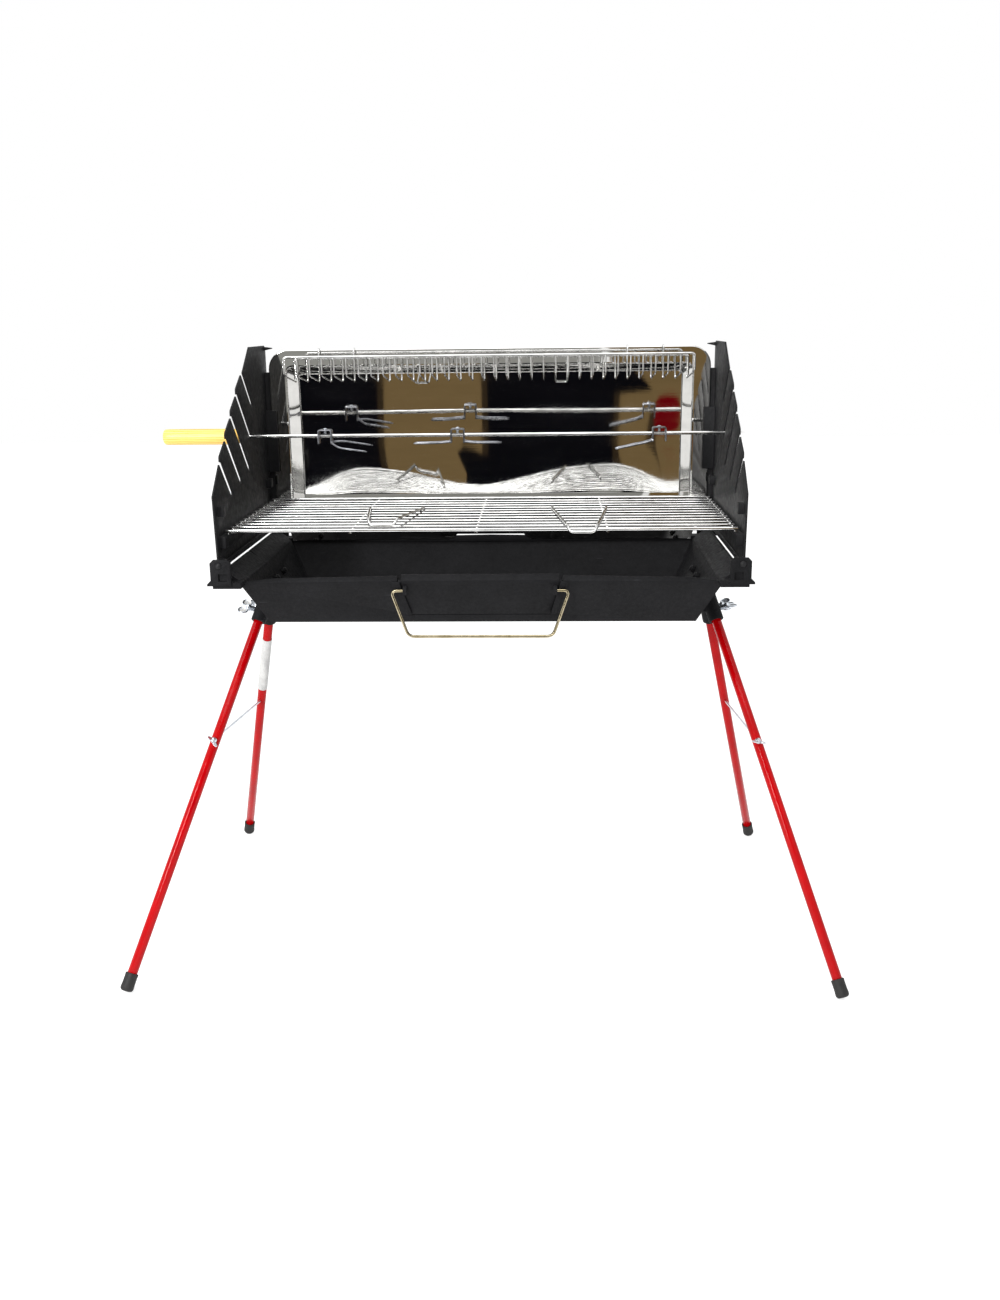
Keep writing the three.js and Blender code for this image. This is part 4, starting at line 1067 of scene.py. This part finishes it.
def studio():
    mesh = bpy.data.meshes.new("studio_floor")
    mesh.from_pydata([(-9, -9, 0), (9, -9, 0), (9, 9, 0), (-9, 9, 0)], [], [(0, 1, 2, 3)])
    s = Shader("pale_floor", Metallic=0.0, Roughness=0.9, Specular_IOR_Level=0.1)
    s.shader.inputs["Emission Color"].default_value = (1, 1, 1, 1)
    s.shader.inputs["Emission Strength"].default_value = 0.66
    s.into("Base Color", s.ramp(s.noise(2.0, 2.0), (0.3, (0.5, 0.5, 0.5)), (0.7, (0.52, 0.52, 0.52))))
    linked("studio_floor", mesh, s.material)

    brown = emitter("brown_room", (0.172, 0.115, 0.05))
    black = emitter("black_room", (0.0035, 0.0035, 0.0048))
    red = emitter("red_shape", (0.14, 0.001, 0.004))
    dim = emitter("dim_room", (0.03, 0.02, 0.011))
    grey = emitter("grey_room", (0.3, 0.3, 0.28))

    def wall(name, corners, material, near=0):
        card(name, [(x, ROOM_Y + near, z) for x, z in corners], material)

    def block_out(name, left, right, low, high, material, near=0):
        wall(name, [(left, low), (right, low), (right, high), (left, high)], material, near)

    block_out("room_dark", -580, 560, 380, ROOM_HIGH, black)
    block_out("room_above", -700, 240, ROOM_HIGH, ROOM_CEILING, grey)
    block_out("room_brown_left", -291, -62, ROOM_LOW, ROOM_HIGH, brown, 10)
    block_out("room_edge_left", -298, -284, ROOM_LOW, ROOM_HIGH, dim, 12)
    block_out("room_edge_middle", -70, -56, ROOM_LOW, ROOM_HIGH, dim, 12)
    corners = [(245, ROOM_LOW), (560, ROOM_LOW), (560, ROOM_CEILING), (245, ROOM_CEILING)]
    wall("room_brown_right", corners + [(276, 757), (318, 735), (245, 734)], brown, 10)
    block_out("room_edge_right", 238, 250, ROOM_LOW, 736, dim, 12)
    block_out("room_brown_side", 560, 780, 742, ROOM_CEILING, brown, 10)
    turns = full_turn(32)
    round_box = [tuple(math.copysign(abs(f(t)) ** 0.6, f(t)) for f in (math.cos, math.sin)) for t in turns]
    wall("room_red", [(352 + 28 * x, 714.5 + 17 * z) for x, z in round_box], red, 20)
    wall("room_dark_patch", [(308, 690), (330, 688), (328, 722), (316, 720)], dim, 18)
    ball = [(-99, 733), (-85, 737), (-66, 736), (-20, 728), (-20, 700), (-86, 700), (-82, 716)]
    wall("room_ball", ball, black, 430)


def lamp(name, place, target, size, watts):
    data = bpy.data.lights.new(name, "AREA")
    data.shape = "RECTANGLE"
    data.size, data.size_y = size
    data.energy = watts
    obj = bpy.data.objects.new(name, data)
    bpy.context.scene.collection.objects.link(obj)
    obj.location = place
    obj.rotation_euler = (Vector(target) - Vector(place)).to_track_quat("-Z", "Y").to_euler()


LIT = (0, 0, 0.6)
studio()
lamp("softbox_top", (-0.5, -0.9, 3.2), LIT, (2.6, 2.0), 46)
lamp("softbox_left", (-1.3, -2.4, 1.6), LIT, (0.22, 1.6), 70)
world = bpy.data.worlds.new("studio_air")
bpy.context.scene.world = world
world.use_nodes = True
air = world.node_tree.nodes["Background"].inputs
air["Color"].default_value = (1.0, 1.0, 1.0, 1)
air["Strength"].default_value = 1.0
bpy.context.scene.view_settings.view_transform = "Standard"

# The focal length is in pixels of the whole picture; place is in metres and the turn in degrees.
PHOTO_H, FOCAL, SENSOR = 1300, 1247.7, 36
CAMERA_AT, CAMERA_TURN = (0.1073, -2.0676, 1.0259), (-2.31, 14.84, -0.69)
yaw, pitch, roll = (math.radians(a) for a in CAMERA_TURN)
ahead = Vector((math.sin(yaw) * math.cos(pitch), math.cos(yaw) * math.cos(pitch), -math.sin(pitch)))
right = Vector((math.cos(yaw), -math.sin(yaw), 0))
up = right.cross(ahead)
right, up = right * math.cos(roll) + up * math.sin(roll), up * math.cos(roll) - right * math.sin(roll)
camera_data = bpy.data.cameras.new("camera")
camera_data.sensor_width = SENSOR
camera_data.lens = FOCAL / PHOTO_H * SENSOR
camera = bpy.data.objects.new("camera", camera_data)
bpy.context.scene.collection.objects.link(camera)
camera.matrix_world = Matrix((
    (right.x, up.x, -ahead.x, CAMERA_AT[0]),
    (right.y, up.y, -ahead.y, CAMERA_AT[1]),
    (right.z, up.z, -ahead.z, CAMERA_AT[2]),
    (0, 0, 0, 1),
))
bpy.context.scene.camera = camera
